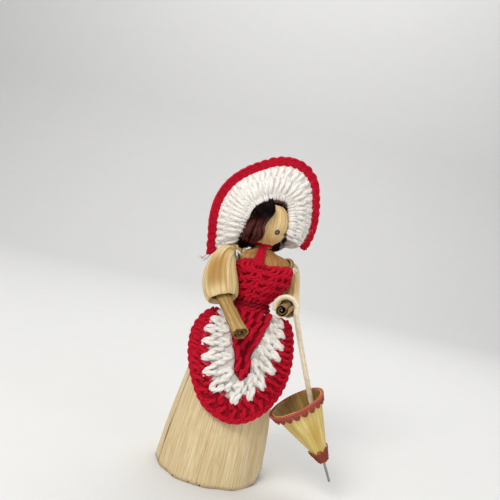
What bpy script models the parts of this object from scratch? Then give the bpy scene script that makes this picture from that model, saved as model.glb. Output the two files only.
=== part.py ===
"""Corn husk doll in a crocheted bonnet, bodice and apron, with a husk parasol hooked over one arm.

X points to the viewer's right when the doll faces the viewer, Y away from the viewer, Z up.
Right and left in a piece's name are the doll's own. Lengths are in metres.
"""

import math

import bmesh
import bpy
from mathutils import Vector

# Fits and sheet materials
GAP = 0.0003
HUSK = 0.0006
ROLL_HUSK = 0.0007
ROLL_GAP = 0.00045
CROCHET = 0.0020
THREAD_RADIUS = 0.00035
THREAD_GAP = 0.00045
WIRE_RADIUS = 0.00045
WELD = 0.000001
OVERRUN = 0.0040

# Skirt: six lapped leaves over a lining, gathered into a collar at the waist
SKIRT_HEIGHT = 0.0915
HEM_RADIUS = 0.0298
WAIST_RADIUS = 0.0083
HEM_FOOT = 0.0012
COLLAR_HEIGHT = 0.0032
SKIRT_LEAN = 0.0034
HEM_RISE = 0.0045
LINING_RISE = 0.0020
PLEAT_DEPTH = 0.0009
SKIRT_LEAVES = 6
SKIRT_PLEATS = 12
LEAF_LAP = math.radians(14)
FIRST_LEAF_EDGE = math.radians(-8)
HEM_RISE_MIDDLE = math.radians(96)
HEM_RISE_SPREAD = math.radians(52)
SKIRT_SWELL_SHARES = (
    (0.0, 1.0), (0.22, 0.93), (0.39, 0.85), (0.60, 0.73), (0.73, 0.58),
    (0.84, 0.385), (0.93, 0.17), (1.0, 0.0),
)
PLEAT_SHARES = ((0.0, 1.0), (0.5, 0.8), (0.85, 0.5), (1.0, 0.15))
WAIST = Vector((0, 0, SKIRT_HEIGHT))

# Body: one bundle of husks from the tails inside the skirt up to the neck
TORSO_HALF_WIDTH = 0.0108
TORSO_HALF_DEPTH = 0.0076
TORSO_HEIGHT = 0.0315
TORSO_SWAY = 0.0072
NECK_RADIUS = 0.0037
NECK_X = 0.0038
NECK_Y = -0.0005
NECK_TOP = SKIRT_HEIGHT + TORSO_HEIGHT
TAIL_LENGTH = 0.0110
BUNDLE_WIDTH_SHARES = (
    (0.0, 0.0), (0.14, 0.04), (0.27, 0.36), (0.43, 0.74), (0.57, 0.96), (0.69, 0.90), (0.78, 0.64),
    (0.86, 0.26), (0.92, 0.02), (1.0, 0.0),
)
BUNDLE_SWAY_SHARES = ((0.0, 0.47), (0.15, 0.64), (0.32, 0.86), (0.55, 1.0), (0.78, 0.80), (1.0, 0.53))
CHEST_WRAP_ABOVE_WAIST = 0.0005
CHEST_WRAP_BOTTOM = SKIRT_HEIGHT + CHEST_WRAP_ABOVE_WAIST
CHEST_WRAP_HEIGHT = 0.0212
CHEST_WRAP_LAP = math.radians(40)
WAIST_TIE_SHARE = 0.42

# Bodice and its halter strap
BODICE_ABOVE_WAIST = 0.0012
BODICE_BOTTOM = SKIRT_HEIGHT + BODICE_ABOVE_WAIST
BODICE_FRONT_HEIGHT = 0.0196
BODICE_BACK_HEIGHT = 0.0160
STRAP_RADIUS = 0.0011
STRAP_SPACING = 0.0026

# Apron: a crocheted oval in three colours on a cord round the waist
APRON_HALF_WIDTH = 0.0272
APRON_HEIGHT = 0.0548
APRON_X = 0.0038
APRON_WALL = 0.0022
APRON_EASE = 0.0009
APRON_CURL_RADIUS = 0.0320
WAISTBAND_RADIUS = 0.0011
APRON_EDGE_SHARES = (
    (0.0, -0.68, 0.08), (0.07, -0.83, 0.14), (0.16, -0.95, 0.24), (0.27, -0.99, 0.38),
    (0.38, -0.86, 0.62), (0.45, -0.48, 0.90), (0.5, 0.05, 1.0), (0.56, 0.52, 0.92),
    (0.64, 0.86, 0.72), (0.75, 0.98, 0.46), (0.86, 0.93, 0.22), (0.95, 0.84, 0.10), (1.0, 0.74, 0.05),
)
APRON_BAND_SHARES = (
    (0.0, -0.50, 0.06), (0.16, -0.68, 0.26), (0.30, -0.60, 0.50), (0.42, -0.38, 0.72),
    (0.5, 0.06, 0.80), (0.60, 0.42, 0.70), (0.72, 0.64, 0.46), (0.88, 0.70, 0.22), (1.0, 0.62, 0.04),
)
TONGUE_SHARE = 0.88
APRON_HEART_SHARES = (
    (0.0, -0.30, 0.02), (0.18, -0.26, 0.22), (0.34, -0.10, 0.42), (0.44, -0.04, 0.56),
    (0.5, 0.10, 0.61), (0.57, 0.24, 0.55), (0.68, 0.20, 0.40), (0.84, 0.34, 0.20), (1.0, 0.44, 0.02),
)

# Arms: husk rolls on a wire, each in a puffed sleeve tied at the shoulder, placed from the waist
SHOULDER_ROLL_RADIUS = 0.0024
WIRE_BORE = 0.0009
CUFF_EASE_SHARE = 1.34
SLEEVE_TOP_RADIUS = 0.0029
SLEEVE_PLEATS = 10
SLEEVE_PLEAT_DEPTH = 0.0007
SHOULDER_YARN_RADIUS = 0.0006
SHOULDER_TIE_SHARE = 0.115
ELBOW_CLEAR_SHARE = 0.5
RIGHT_SHOULDER_OFFSET = Vector((-0.0075, -0.0010, 0.0265))
RIGHT_ELBOW_OFFSET = Vector((-0.0122, -0.0132, 0.0020))
RIGHT_HAND_OFFSET = Vector((0.0012, -0.0340, -0.0125))
RIGHT_SHOULDER = WAIST + RIGHT_SHOULDER_OFFSET
RIGHT_ELBOW = WAIST + RIGHT_ELBOW_OFFSET
RIGHT_HAND = WAIST + RIGHT_HAND_OFFSET
RIGHT_SLEEVE_RADIUS = 0.0093
RIGHT_FOREARM_RADIUS = 0.0041
RIGHT_SHOULDER_REACH = Vector((-0.0115, -0.0030, 0.0005))
RIGHT_CUFF_REACH = Vector((0.0040, -0.0045, -0.0085))
LEFT_SHOULDER_OFFSET = Vector((0.0167, 0.0017, 0.0248))
LEFT_ELBOW_OFFSET = Vector((0.0240, -0.0050, 0.0030))
LEFT_HAND_OFFSET = Vector((0.0186, -0.0315, 0.0028))
LEFT_SHOULDER = WAIST + LEFT_SHOULDER_OFFSET
LEFT_ELBOW = WAIST + LEFT_ELBOW_OFFSET
LEFT_HAND = WAIST + LEFT_HAND_OFFSET
LEFT_SLEEVE_RADIUS = 0.0058
LEFT_FOREARM_RADIUS = 0.0037
LEFT_SHOULDER_REACH = Vector((0.0090, 0.0125, 0.0010))
LEFT_CUFF_REACH = Vector((-0.0010, -0.0270, -0.0050))
ROLL_SWELL_SHARES = ((0.12, 0.0), (0.24, 0.2), (0.38, 0.45), (0.52, 0.7), (0.66, 0.9), (0.80, 1.0))
SLEEVE_ROWS_SHARES = (
    (0.07, 0.0, 0), (0.15, 0.0, 0.3), (0.24, 0.40, 1), (0.42, 0.66, 1), (0.60, 0.88, 1),
    (0.80, 1.0, 1), (0.97, 0.90, 1), (1.06, 0.58, 1), (1.035, 0.22, 0), (1.0, 0.0, 0),
)

# Head: a ball under husk, with hair and the bonnet
HEAD_RADIUS = 0.0120
HEAD_ABOVE_NECK = 0.0135
HEAD_CENTRE_HEIGHT = NECK_TOP + HEAD_ABOVE_NECK
NECK_FILLET_SHARE = 1.35
HAIR_WALL = 0.0014
HAIR_WAVE = 0.0003
LOCK_DROP = 0.0018
EYE_RADIUS = 0.0013
EYE_BULGE = 0.0006
EYE_LATITUDE = math.radians(-21)
RIGHT_EYE_LONGITUDE = math.radians(-29)
LEFT_EYE_LONGITUDE = math.radians(-58)
BONNET_RADIUS = 0.0395
CROWN_RADIUS = 0.0153
CROWN_DEPTH = 0.0168
CROWN_SHARES = ((0.0, 1.0), (0.45, 0.93), (0.82, 0.66), (1.0, 0.28))
NAPE_CROWN_SHARE = 0.62
NAPE_DEPTH_SHARE = 0.5
NAPE_STEP = 0.0003
CROWN_RING_RADIUS = 0.0012
BRIM_SETBACK = 0.0040
BRIM_END_SETBACK = 0.0052
BRIM_FOLD = 0.0085
BRIM_PUFF = 0.0016
EDGING_RADIUS = 0.0023
EDGING_SCALLOPS = 34
EDGING_SCALLOP_DEPTH = 0.0005
BRIM_START = math.radians(-30)
BRIM_END = math.radians(226)
BRIM_END_SPREAD = math.radians(50)
NAPE_BLEND = math.radians(13)
BRIM_OUTER_SHARES = (
    (-60, 0.66), (-30, 0.66), (-12, 0.665), (5, 0.69), (24, 0.74), (40, 0.82), (55, 0.94), (68, 1.0),
    (80, 1.0), (92, 0.96), (108, 0.89), (125, 0.86), (145, 0.85), (165, 0.845), (185, 0.845),
    (205, 0.885), (218, 0.975), (230, 1.06), (250, 1.06),
)
BRIM_INNER_SHARES = (
    (-60, 1.06), (-30, 1.03), (-14, 0.99), (10, 0.99), (30, 1.0), (59, 1.12), (87, 1.02), (117, 0.94),
    (150, 0.88), (180, 0.88), (200, 1.0), (220, 1.30), (235, 1.45), (250, 1.45),
)
BRIM_FOLD_SHARES = (
    (-60, 0.0), (-14, 0.05), (30, 0.12), (59, 0.2), (87, 0.45), (117, 0.72), (150, 0.98),
    (180, 1.0), (200, 0.75), (220, 0.3), (250, 0.0),
)

# Parasol: a husk cone on a hooked, wire-cored handle, hung from the arm beside the skirt
SKIRT_SIDE = WAIST + Vector((HEM_RADIUS, 0, 0))
PARASOL_RADIUS = 0.0137
PARASOL_HEIGHT = 0.0328
PARASOL_TIP_RADIUS = 0.0017
PARASOL_MOUTH_OFFSET = Vector((0.0076, -0.0175, -0.0435))
PARASOL_MOUTH = SKIRT_SIDE + PARASOL_MOUTH_OFFSET
PARASOL_AXIS = Vector((0.616, 0, -0.788))
PARASOL_LAP = math.radians(34)
HANDLE_RADIUS = 0.0014
HANDLE_WIRE_RADIUS = 0.0007
HANDLE_ENTRY_OFFSET = Vector((0.0115, -0.0155, -0.0397))
HANDLE_ENTRY = SKIRT_SIDE + HANDLE_ENTRY_OFFSET
HOOK_RADIUS = 0.0058
HOOK_SHARE = 0.40
HOOK_START = math.radians(205)
HOOK_END = math.radians(-14)
HANDLE_REACH_SHARES = (0.25, 0.3)
WRAP_STOP = 0.0037
TIP_WIRE_OFFSET = Vector((0.0331, -0.0175, -0.0795))
TIP_WIRE_END = SKIRT_SIDE + TIP_WIRE_OFFSET
RIM_LACE_WIDTH = 0.0045
RIM_LACE_OVERHANG = 0.0005
RIM_LACE_WALL = 0.0012
RIM_LACE_SCALLOPS = 20
RIM_LACE_SCALLOP_DEPTH = 0.0008
TIP_LACE_LENGTH = 0.0050
TIP_LACE_WALL = 0.0009

# Joint ranges, in degrees, are kept on the empties as the poses that the doll can take
JOINT_RANGES = {
    "head": (-25, 2), "right_arm": (0, 34), "right_forearm": (-10, 12),
    "left_arm": (0, 30), "left_forearm": (0, 14), "parasol": (0, 50),
}

HALF = 0.5
MILLIMETRES = 1000
FRONT = Vector((0, -1, 0))
ACROSS = Vector((1, 0, 0))
UP = Vector((0, 0, 1))


# Small helpers

def clear_scene():
    for thing in list(bpy.data.objects):
        bpy.data.objects.remove(thing, do_unlink=True)


def colour(code):
    """Linear colour from an sRGB hex code."""
    channels = []
    for at in (0, 2, 4):
        value = int(code[at:at + 2], 16) / 255
        channels.append(value / 12.92 if value <= 0.04045 else ((value + 0.055) / 1.055) ** 2.4)
    return (*channels, 1)


def material(name, code, roughness, metallic=0.0):
    made = bpy.data.materials.new(name)
    made.use_nodes = True
    made.diffuse_color = colour(code)
    shader = made.node_tree.nodes["Principled BSDF"]
    shader.inputs["Base Color"].default_value = colour(code)
    shader.inputs["Roughness"].default_value = roughness
    shader.inputs["Metallic"].default_value = metallic
    return made


def smooth(table, at, column=1):
    """Value at a position from a table of positions and values, along a smooth curve."""
    if at <= table[0][0]:
        return table[0][column]
    if at >= table[-1][0]:
        return table[-1][column]
    index = max(i for i in range(len(table) - 1) if table[i][0] <= at)
    x0, x1 = table[index][0], table[index + 1][0]
    y0, y1 = table[index][column], table[index + 1][column]
    before = table[max(index - 1, 0)]
    after = table[min(index + 2, len(table) - 1)]
    slope0 = (y1 - before[column]) / (x1 - before[0])
    slope1 = (after[column] - y0) / (after[0] - x0)
    span = x1 - x0
    t = (at - x0) / span
    low = (2 * t ** 3 - 3 * t ** 2 + 1) * y0 + (t ** 3 - 2 * t ** 2 + t) * span * slope0
    return low + (3 * t ** 2 - 2 * t ** 3) * y1 + (t ** 3 - t ** 2) * span * slope1


def step(low, high, at):
    """Smooth step from 0 at low to 1 at high."""
    t = min(max((at - low) / (high - low), 0), 1)
    return t * t * (3 - 2 * t)


def mix(first, second, share):
    return first + (second - first) * share


class Path:
    """Frames along a route, read by the share of its length."""

    def __init__(self, points):
        self.points = points
        self.along = [0.0]
        for first, second in zip(points, points[1:]):
            self.along.append(self.along[-1] + (second - first).length)
        self.length = self.along[-1]
        self.tangents = []
        for index in range(len(points)):
            ahead = points[min(index + 1, len(points) - 1)]
            behind = points[max(index - 1, 0)]
            self.tangents.append((ahead - behind).normalized())
        side = self.tangents[0].cross(ACROSS)
        if side.length < HALF:
            side = self.tangents[0].cross(UP)
        self.sides = [side.normalized()]
        for tangent in self.tangents[1:]:
            side = self.sides[-1]
            self.sides.append((side - tangent * side.dot(tangent)).normalized())

    def frame(self, share):
        """Point, tangent and two normals; shares past the ends run straight on."""
        distance = share * self.length
        last = len(self.points) - 1
        index = 0
        while index < last - 1 and self.along[index + 1] < distance:
            index += 1
        t = (distance - self.along[index]) / (self.along[index + 1] - self.along[index])
        held = min(max(t, 0), 1)
        point = mix(self.points[index], self.points[index + 1], held)
        tangent = mix(self.tangents[index], self.tangents[index + 1], held).normalized()
        point = point + tangent * (t - held) * (self.along[index + 1] - self.along[index])
        side = mix(self.sides[index], self.sides[index + 1], held)
        side = (side - tangent * side.dot(tangent)).normalized()
        return point, tangent, side, tangent.cross(side)

    def around(self, share, angle, radius):
        point, tangent, side, other = self.frame(share)
        return point + (side * math.cos(angle) + other * math.sin(angle)) * radius


def bezier(first, first_reach, last_reach, last, count):
    """Points of a curve that leaves along one reach and arrives along the other."""
    points = []
    for index in range(count + 1):
        t = index / count
        s = 1 - t
        inner = (first + first_reach) * 3 * s * s * t + (last - last_reach) * 3 * s * t * t
        points.append(first * s ** 3 + inner + last * t ** 3)
    return points


class Body:
    """An empty on a joint's axis that carries the pieces of one moving body."""

    def __init__(self, name, origin, parent=None):
        self.origin = origin
        self.empty = bpy.data.objects.new(name + "_pivot", None)
        self.empty.empty_display_size = HEAD_RADIUS
        self.empty.location = origin - parent.origin if parent else origin
        if parent:
            self.empty.parent = parent.empty
        if name in JOINT_RANGES:
            self.empty["range_degrees"] = JOINT_RANGES[name]
        doll.objects.link(self.empty)


def put(name, mesh, look, body):
    """Make the object of a mesh that is written in the doll's frame."""
    for vertex in mesh.vertices:
        vertex.co -= body.origin
    made = bpy.data.objects.new(name, mesh)
    mesh.materials.append(look)
    mesh.shade_smooth()
    mesh.set_sharp_from_angle(angle=math.radians(40))
    made.parent = body.empty
    doll.objects.link(made)
    return made


def solidify(made, wall, outward=False):
    shell = made.modifiers.new("Wall", "SOLIDIFY")
    shell.thickness = wall
    shell.offset = 1 if outward else -1
    shell.use_even_offset = True
    return shell


def surface(name, columns, rows, place, away=None, loop=False, cap=False):
    """A grid laid on a formula of its two shares; seams that meet are welded."""
    mesh = bpy.data.meshes.new(name)
    grid = bmesh.new()
    bmesh.ops.create_grid(grid, x_segments=columns, y_segments=rows, size=HALF)
    for vertex in grid.verts:
        u = (vertex.co.x + HALF) * columns
        v = (vertex.co.y + HALF) * rows
        vertex.co = place(round(u) / columns, round(v))
    bmesh.ops.remove_doubles(grid, verts=grid.verts, dist=WELD)
    if cap:
        edges = [edge for edge in grid.edges if edge.is_boundary]
        bmesh.ops.holes_fill(grid, edges=edges, sides=0)
    if loop or cap:
        bmesh.ops.recalc_face_normals(grid, faces=grid.faces)
    if away is not None:
        facing = sum(face.normal.dot(face.calc_center_median() - away) for face in update(grid))
        if facing < 0:
            bmesh.ops.reverse_faces(grid, faces=grid.faces)
    grid.to_mesh(mesh)
    grid.free()
    return mesh


def update(grid):
    grid.normal_update()
    return grid.faces


def swept(name, path, stations, columns):
    """Closed tube through stations of share and radius; the list of stations is a closed loop."""
    rows = len(stations)

    def place(u, row):
        share, radius = stations[row % rows]
        return path.around(share, u * math.tau, radius)

    return surface(name, columns, rows, place, loop=True)


def cord(name, points, radius, look, body, closed=False, radii=None, resolution=1):
    """Round cord through the points, made a mesh with welded caps."""
    curve = bpy.data.curves.new(name, "CURVE")
    curve.dimensions = "3D"
    curve.bevel_depth = radius
    curve.bevel_resolution = resolution
    curve.use_fill_caps = not closed
    spline = curve.splines.new("POLY")
    spline.points.add(len(points) - 1)
    for index, point in enumerate(points):
        spline.points[index].co = (*point, 1)
        if radii:
            spline.points[index].radius = radii[index]
    spline.use_cyclic_u = closed
    guide = bpy.data.objects.new(name + "_route", curve)
    doll.objects.link(guide)
    bpy.context.view_layer.update()
    drawn = guide.evaluated_get(bpy.context.evaluated_depsgraph_get())
    mesh = bpy.data.meshes.new_from_object(drawn)
    mesh.name = name
    bpy.data.objects.remove(guide)
    bpy.data.curves.remove(curve)
    welded = bmesh.new()
    welded.from_mesh(mesh)
    bmesh.ops.remove_doubles(welded, verts=welded.verts, dist=WELD)
    bmesh.ops.recalc_face_normals(welded, faces=welded.faces)
    welded.to_mesh(mesh)
    welded.free()
    mesh.materials.clear()
    return put(name, mesh, look, body)


def least_gap(points, thickness, skip):
    """Least clear distance of a wound strand to itself, between points that lie a skip or more apart."""
    gaps = []
    for index, point in enumerate(points):
        for other in points[index + skip:]:
            gaps.append((point - other).length - thickness)
    return min(gaps)


def winding(name, path, share, radius, cord_radius, turns, look, body):
    """Unbroken winding of thread round a path, one pitch a turn."""
    points = []
    per_turn = 14
    pitch = cord_radius * 2 + THREAD_GAP
    for index in range(turns * per_turn + 1):
        turn = index / per_turn
        at = share + (turn - turns * HALF) * pitch / path.length
        points.append(path.around(at, turn * math.tau, radius + cord_radius))
    gap = least_gap(points, cord_radius * 2, per_turn // 2)
    print("%s: least gap to itself %.2f mm" % (name, gap * MILLIMETRES))
    return cord(name, points, cord_radius, look, body)


# Skirt

def skirt_radius(height):
    swell = (height - HEM_FOOT) / (SKIRT_HEIGHT - COLLAR_HEIGHT - HEM_FOOT)
    return WAIST_RADIUS + (HEM_RADIUS - WAIST_RADIUS) * smooth(SKIRT_SWELL_SHARES, swell)


def skirt_centre(height):
    return SKIRT_LEAN * height / SKIRT_HEIGHT


def hem_height(angle):
    across = abs(math.remainder(angle - HEM_RISE_MIDDLE, math.tau)) / HEM_RISE_SPREAD
    return HEM_RISE * (1 - step(0, 1, across))


def skirt_point(angle, height, inward, hem):
    """Place on the skirt's outer surface, moved inward by a depth square to it."""
    lifted = hem + height * (SKIRT_HEIGHT - hem) / SKIRT_HEIGHT
    radius = skirt_radius(height if height <= HEM_FOOT else lifted)
    rise = WELD
    slope = (skirt_radius(lifted + rise) - skirt_radius(lifted - rise)) / (rise * 2)
    if height <= HEM_FOOT or height >= SKIRT_HEIGHT - COLLAR_HEIGHT:
        slope = 0
    tilt = math.atan(-slope)
    pleat = PLEAT_DEPTH * smooth(PLEAT_SHARES, height / SKIRT_HEIGHT)
    depth = inward + pleat * (1 - math.cos(angle * SKIRT_PLEATS)) * HALF
    out = radius - depth * math.cos(tilt)
    return Vector((
        skirt_centre(lifted) + out * math.sin(angle),
        -out * math.cos(angle),
        lifted - depth * math.sin(tilt),
    ))


def skirt_rows(count):
    body_height = SKIRT_HEIGHT - COLLAR_HEIGHT - HEM_FOOT
    middle = [HEM_FOOT + body_height * index / count for index in range(count + 1)]
    return [0.0, *middle, SKIRT_HEIGHT]


LEAF_ANGLE = math.tau / SKIRT_LEAVES
LEAF_LIFT = (HUSK + GAP) * (LEAF_ANGLE + LEAF_LAP) / LEAF_ANGLE
LINING_DEPTH = LEAF_LIFT + HUSK + GAP
BUNDLE_WAIST_RADIUS = WAIST_RADIUS - PLEAT_DEPTH * HALF - LINING_DEPTH - HUSK - GAP


def make_skirt(body, husk, husk_inner):
    rows = skirt_rows(7)
    inside = Vector((0, 0, SKIRT_HEIGHT * HALF))
    for leaf in range(SKIRT_LEAVES):
        end = FIRST_LEAF_EDGE + LEAF_ANGLE * leaf

        def place(u, row):
            angle = end - (LEAF_ANGLE + LEAF_LAP) * (1 - u)
            return skirt_point(angle, rows[row], LEAF_LIFT * (1 - u), hem_height(angle))

        name = "skirt_leaf_%d" % (leaf + 1)
        made = put(name, surface(name, 10, len(rows) - 1, place, away=inside), husk, body)
        solidify(made, HUSK)

    levels = skirt_rows(6)

    def lining(u, row):
        angle = u * math.tau
        return skirt_point(angle, levels[row], LINING_DEPTH, LINING_RISE + hem_height(angle))

    made = put("skirt_lining", surface("skirt_lining", 24, len(levels) - 1, lining, away=inside),
               husk_inner, body)
    solidify(made, HUSK)


# Torso

BUNDLE_BOTTOM = SKIRT_HEIGHT - COLLAR_HEIGHT - TAIL_LENGTH
TORSO_BOTTOM = SKIRT_HEIGHT


def torso_section(height):
    """Centre and half sizes of the husk bundle at a height."""
    share = (height - TORSO_BOTTOM) / (NECK_TOP - TORSO_BOTTOM)
    swell = smooth(BUNDLE_WIDTH_SHARES, share)
    base = mix(BUNDLE_WAIST_RADIUS, NECK_RADIUS, step(HALF, 1, share))
    centre = TORSO_SWAY * smooth(BUNDLE_SWAY_SHARES, share)
    return (
        Vector((centre, NECK_Y * step(HALF, 1, share), height)),
        mix(base, TORSO_HALF_WIDTH, swell),
        mix(base, TORSO_HALF_DEPTH, swell),
    )


def torso_point(angle, height, outward):
    centre, half_width, half_depth = torso_section(height)
    across = (half_width + outward) * math.sin(angle)
    return centre + ACROSS * across + FRONT * (half_depth + outward) * math.cos(angle)


CHEST_LIFT = (HUSK + GAP) * (math.tau + CHEST_WRAP_LAP) / math.tau
BODICE_EASE = GAP + HUSK + CHEST_LIFT + GAP


def make_torso(body, husk, ochre, cotton):
    heights = [BUNDLE_BOTTOM, BUNDLE_BOTTOM + TAIL_LENGTH * HALF, TORSO_BOTTOM]
    upper = 11
    heights += [mix(TORSO_BOTTOM, NECK_TOP, (index + 1) / upper) for index in range(upper)]

    def place(u, row):
        height = heights[row]
        return torso_point(u * math.tau, height, 0)

    mesh = surface("body_bundle", 20, len(heights) - 1, place, cap=True)
    bundle = put("body_bundle", mesh, husk, body)
    cut_bore(bundle, RIGHT_SHOULDER, LEFT_SHOULDER, SHOULDER_ROLL_RADIUS + GAP, body)

    def wrap(u, row):
        angle = math.radians(-150) + (math.tau + CHEST_WRAP_LAP) * u
        height = CHEST_WRAP_BOTTOM + CHEST_WRAP_HEIGHT * row / 4
        return torso_point(angle, height, GAP + HUSK + CHEST_LIFT * u)

    centre = torso_section(CHEST_WRAP_BOTTOM + CHEST_WRAP_HEIGHT * HALF)[0]
    made = put("chest_wrap", surface("chest_wrap", 24, 4, wrap, away=centre), ochre, body)
    solidify(made, HUSK)

    ends = [RIGHT_SHOULDER, LEFT_SHOULDER]
    shoulders = Path(ends)
    near = GAP / shoulders.length
    far = 1 - (SHOULDER_ROLL_RADIUS + GAP) / shoulders.length
    stations = [(near, SHOULDER_ROLL_RADIUS), (far, SHOULDER_ROLL_RADIUS)]
    stations += [(far, WIRE_BORE), (near, WIRE_BORE)]
    put("shoulder_roll", swept("shoulder_roll", shoulders, stations, 12), husk, body)
    run = [mix(ends[0], ends[1], near), mix(ends[0], ends[1], far)]
    cord("shoulder_wire", run, WIRE_RADIUS, wire_look, body)

    waist = Path([skirt_axis(SKIRT_HEIGHT - COLLAR_HEIGHT), skirt_axis(SKIRT_HEIGHT)])
    winding("waist_tie", waist, WAIST_TIE_SHARE, WAIST_RADIUS + GAP, THREAD_RADIUS, 2, cotton, body)
    top = torso_section(NECK_TOP)[0]
    neck = Path([top - UP * NECK_RADIUS, top + UP * NECK_RADIUS])
    winding("neck_tie", neck, HALF, NECK_RADIUS + GAP, THREAD_RADIUS, 1, cotton, body)


def skirt_axis(height):
    return Vector((skirt_centre(height), 0, height))


def cut_bore(target, first, last, radius, body):
    """Cut a round bore along a line, run past both ends."""
    run = (last - first).normalized() * OVERRUN
    cutter = cord("shoulder_cutter", [first - run, last + run], radius, wire_look, body, resolution=3)
    doll.objects.unlink(cutter)
    cutters.objects.link(cutter)
    cutter.hide_render = True
    cutter.display_type = "WIRE"
    bore = target.modifiers.new("Bore", "BOOLEAN")
    bore.object = cutter
    bore.operation = "DIFFERENCE"
    bore.solver = "EXACT"


# Bodice

def make_bodice(body, red):
    def place(u, row):
        angle = u * math.tau
        front = (1 + math.cos(angle)) * HALF
        top = mix(BODICE_BACK_HEIGHT, BODICE_FRONT_HEIGHT, front * front)
        return torso_point(angle, BODICE_BOTTOM + top * row / 4, BODICE_EASE)

    centre = torso_section(BODICE_BOTTOM + BODICE_FRONT_HEIGHT * HALF)[0]
    made = put("bodice", surface("bodice", 24, 4, place, away=centre), red, body)
    solidify(made, CROCHET, outward=True)

    neck = torso_section(NECK_TOP)[0]
    loop = NECK_RADIUS + GAP + THREAD_RADIUS * 2 + GAP * 2 + STRAP_RADIUS
    loop_height = NECK_TOP - STRAP_RADIUS
    top = BODICE_BOTTOM + BODICE_FRONT_HEIGHT + GAP
    half = STRAP_SPACING * HALF
    front_points = []
    for side in (-1, 1):
        seat = torso_point(0, top, BODICE_EASE + CROCHET * HALF)
        seat.x = neck.x + half * side
        middle_height = mix(top, loop_height, HALF)
        middle = torso_point(0, middle_height, BODICE_EASE + STRAP_RADIUS)
        middle.x = neck.x + half * side
        front_points.append([seat, middle])
    ring = []
    turns = 12
    for index in range(turns + 1):
        angle = math.radians(-150) + math.radians(300) * index / turns
        ring.append(Vector((neck.x - loop * math.sin(-angle), neck.y + loop * math.cos(angle), loop_height)))
    points = [*front_points[0], *ring, *reversed(front_points[1])]
    cord("bodice_strap", points, STRAP_RADIUS, red, body)


# Apron

APRON_TOP = SKIRT_HEIGHT - COLLAR_HEIGHT + GAP


def apron_back(x, z):
    """The apron's inner surface: it hangs off the skirt's front and stays flatter than the skirt."""
    height = min(max(z, HEM_FOOT), SKIRT_HEIGHT - COLLAR_HEIGHT)
    off = x - APRON_X
    sag = off * off / APRON_CURL_RADIUS * HALF
    return -(skirt_radius(height) + APRON_EASE) + sag


def apron_edge(table, share):
    return (
        APRON_X + APRON_HALF_WIDTH * smooth(table, share, 1),
        APRON_TOP - APRON_HEIGHT * smooth(table, share, 2),
    )


def apron_zone(name, inner, outer, inner_inset, outer_inset, columns, rows, look, body):
    """A zone between two edge lines, kept clear of both neighbours."""
    def place(u, row):
        x0, z0 = inner(u)
        x1, z1 = outer(u)
        run = math.hypot(x1 - x0, z1 - z0)
        share = mix(inner_inset / run, 1 - outer_inset / run, row / rows)
        x = mix(x0, x1, share)
        z = mix(z0, z1, share)
        return Vector((x, apron_back(x, z), z))

    behind = Vector((APRON_X, HEM_RADIUS, APRON_TOP - APRON_HEIGHT * HALF))
    made = put(name, surface(name, columns, rows, place, away=behind), look, body)
    solidify(made, APRON_WALL, outward=True)
    return made


def make_apron(body, red, white):
    def edge(share):
        return apron_edge(APRON_EDGE_SHARES, share)

    def band(share):
        return apron_edge(APRON_BAND_SHARES, share)

    def heart(share):
        return apron_edge(APRON_HEART_SHARES, share)

    def left_side(share):
        return heart(share * HALF)

    def right_side(share):
        return heart(1 - share * HALF)

    half = GAP * HALF
    apron_zone("apron_border", band, edge, half, 0, 26, 2, red, body)
    apron_zone("apron_band", heart, band, half, half, 20, 2, white, body)

    apron_zone("apron_center", lambda u: left_side(u * TONGUE_SHARE), lambda u: right_side(u * TONGUE_SHARE),
               GAP, GAP, 8, 4, red, body)

    centre = skirt_axis(SKIRT_HEIGHT - WAISTBAND_RADIUS - GAP)
    ring_radius = WAIST_RADIUS + (GAP + THREAD_RADIUS) * 2 + WAISTBAND_RADIUS
    ring = []
    count = 28
    for index in range(count):
        angle = math.tau * index / count
        ring.append(centre + ACROSS * ring_radius * math.sin(angle) + FRONT * ring_radius * math.cos(angle))
    cord("apron_waistband", ring, WAISTBAND_RADIUS, red, body, closed=True)


# Arms

def sleeve_mesh(name, path, radius, lip):
    """Puffed sleeve gathered at the shoulder, its lower edge turned in to the lip."""
    rows = SLEEVE_ROWS_SHARES

    def place(u, row):
        share, swell, pleated = rows[row]
        base = SLEEVE_TOP_RADIUS + HUSK if row < 5 else lip + HUSK
        full = mix(base, radius, swell)
        pleat = SLEEVE_PLEAT_DEPTH * pleated * math.cos(u * math.tau * SLEEVE_PLEATS)
        return path.around(share, u * math.tau, full + pleat * HALF)

    return surface(name, 20, len(rows) - 1, place, away=path.frame(HALF)[0])


def forearm_roll(name, path, radius, look, body):
    """Husk leaf rolled round the wire, open at the spiral ends."""
    pitch = ROLL_HUSK + ROLL_GAP
    first = WIRE_BORE + ROLL_HUSK
    turns = (radius - first) / pitch
    columns = round(turns * 14)

    def place(u, row):
        return path.around(row / 2, u * turns * math.tau, first + pitch * turns * u)

    seam = [place(index / columns, 0) for index in range(columns + 1)]
    gap = least_gap(seam, ROLL_HUSK, 7)
    print("%s: least gap between turns %.2f mm" % (name, gap * MILLIMETRES))
    mesh = surface(name, columns, 2, place)
    made = put(name, mesh, look, body)
    wall = solidify(made, ROLL_HUSK)
    middle = path.frame(HALF)[0] - body.origin
    outer = mesh.polygons[len(mesh.polygons) - 1]
    if outer.normal.dot(outer.center - middle) < 0:
        wall.offset = 1
    return made


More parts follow.
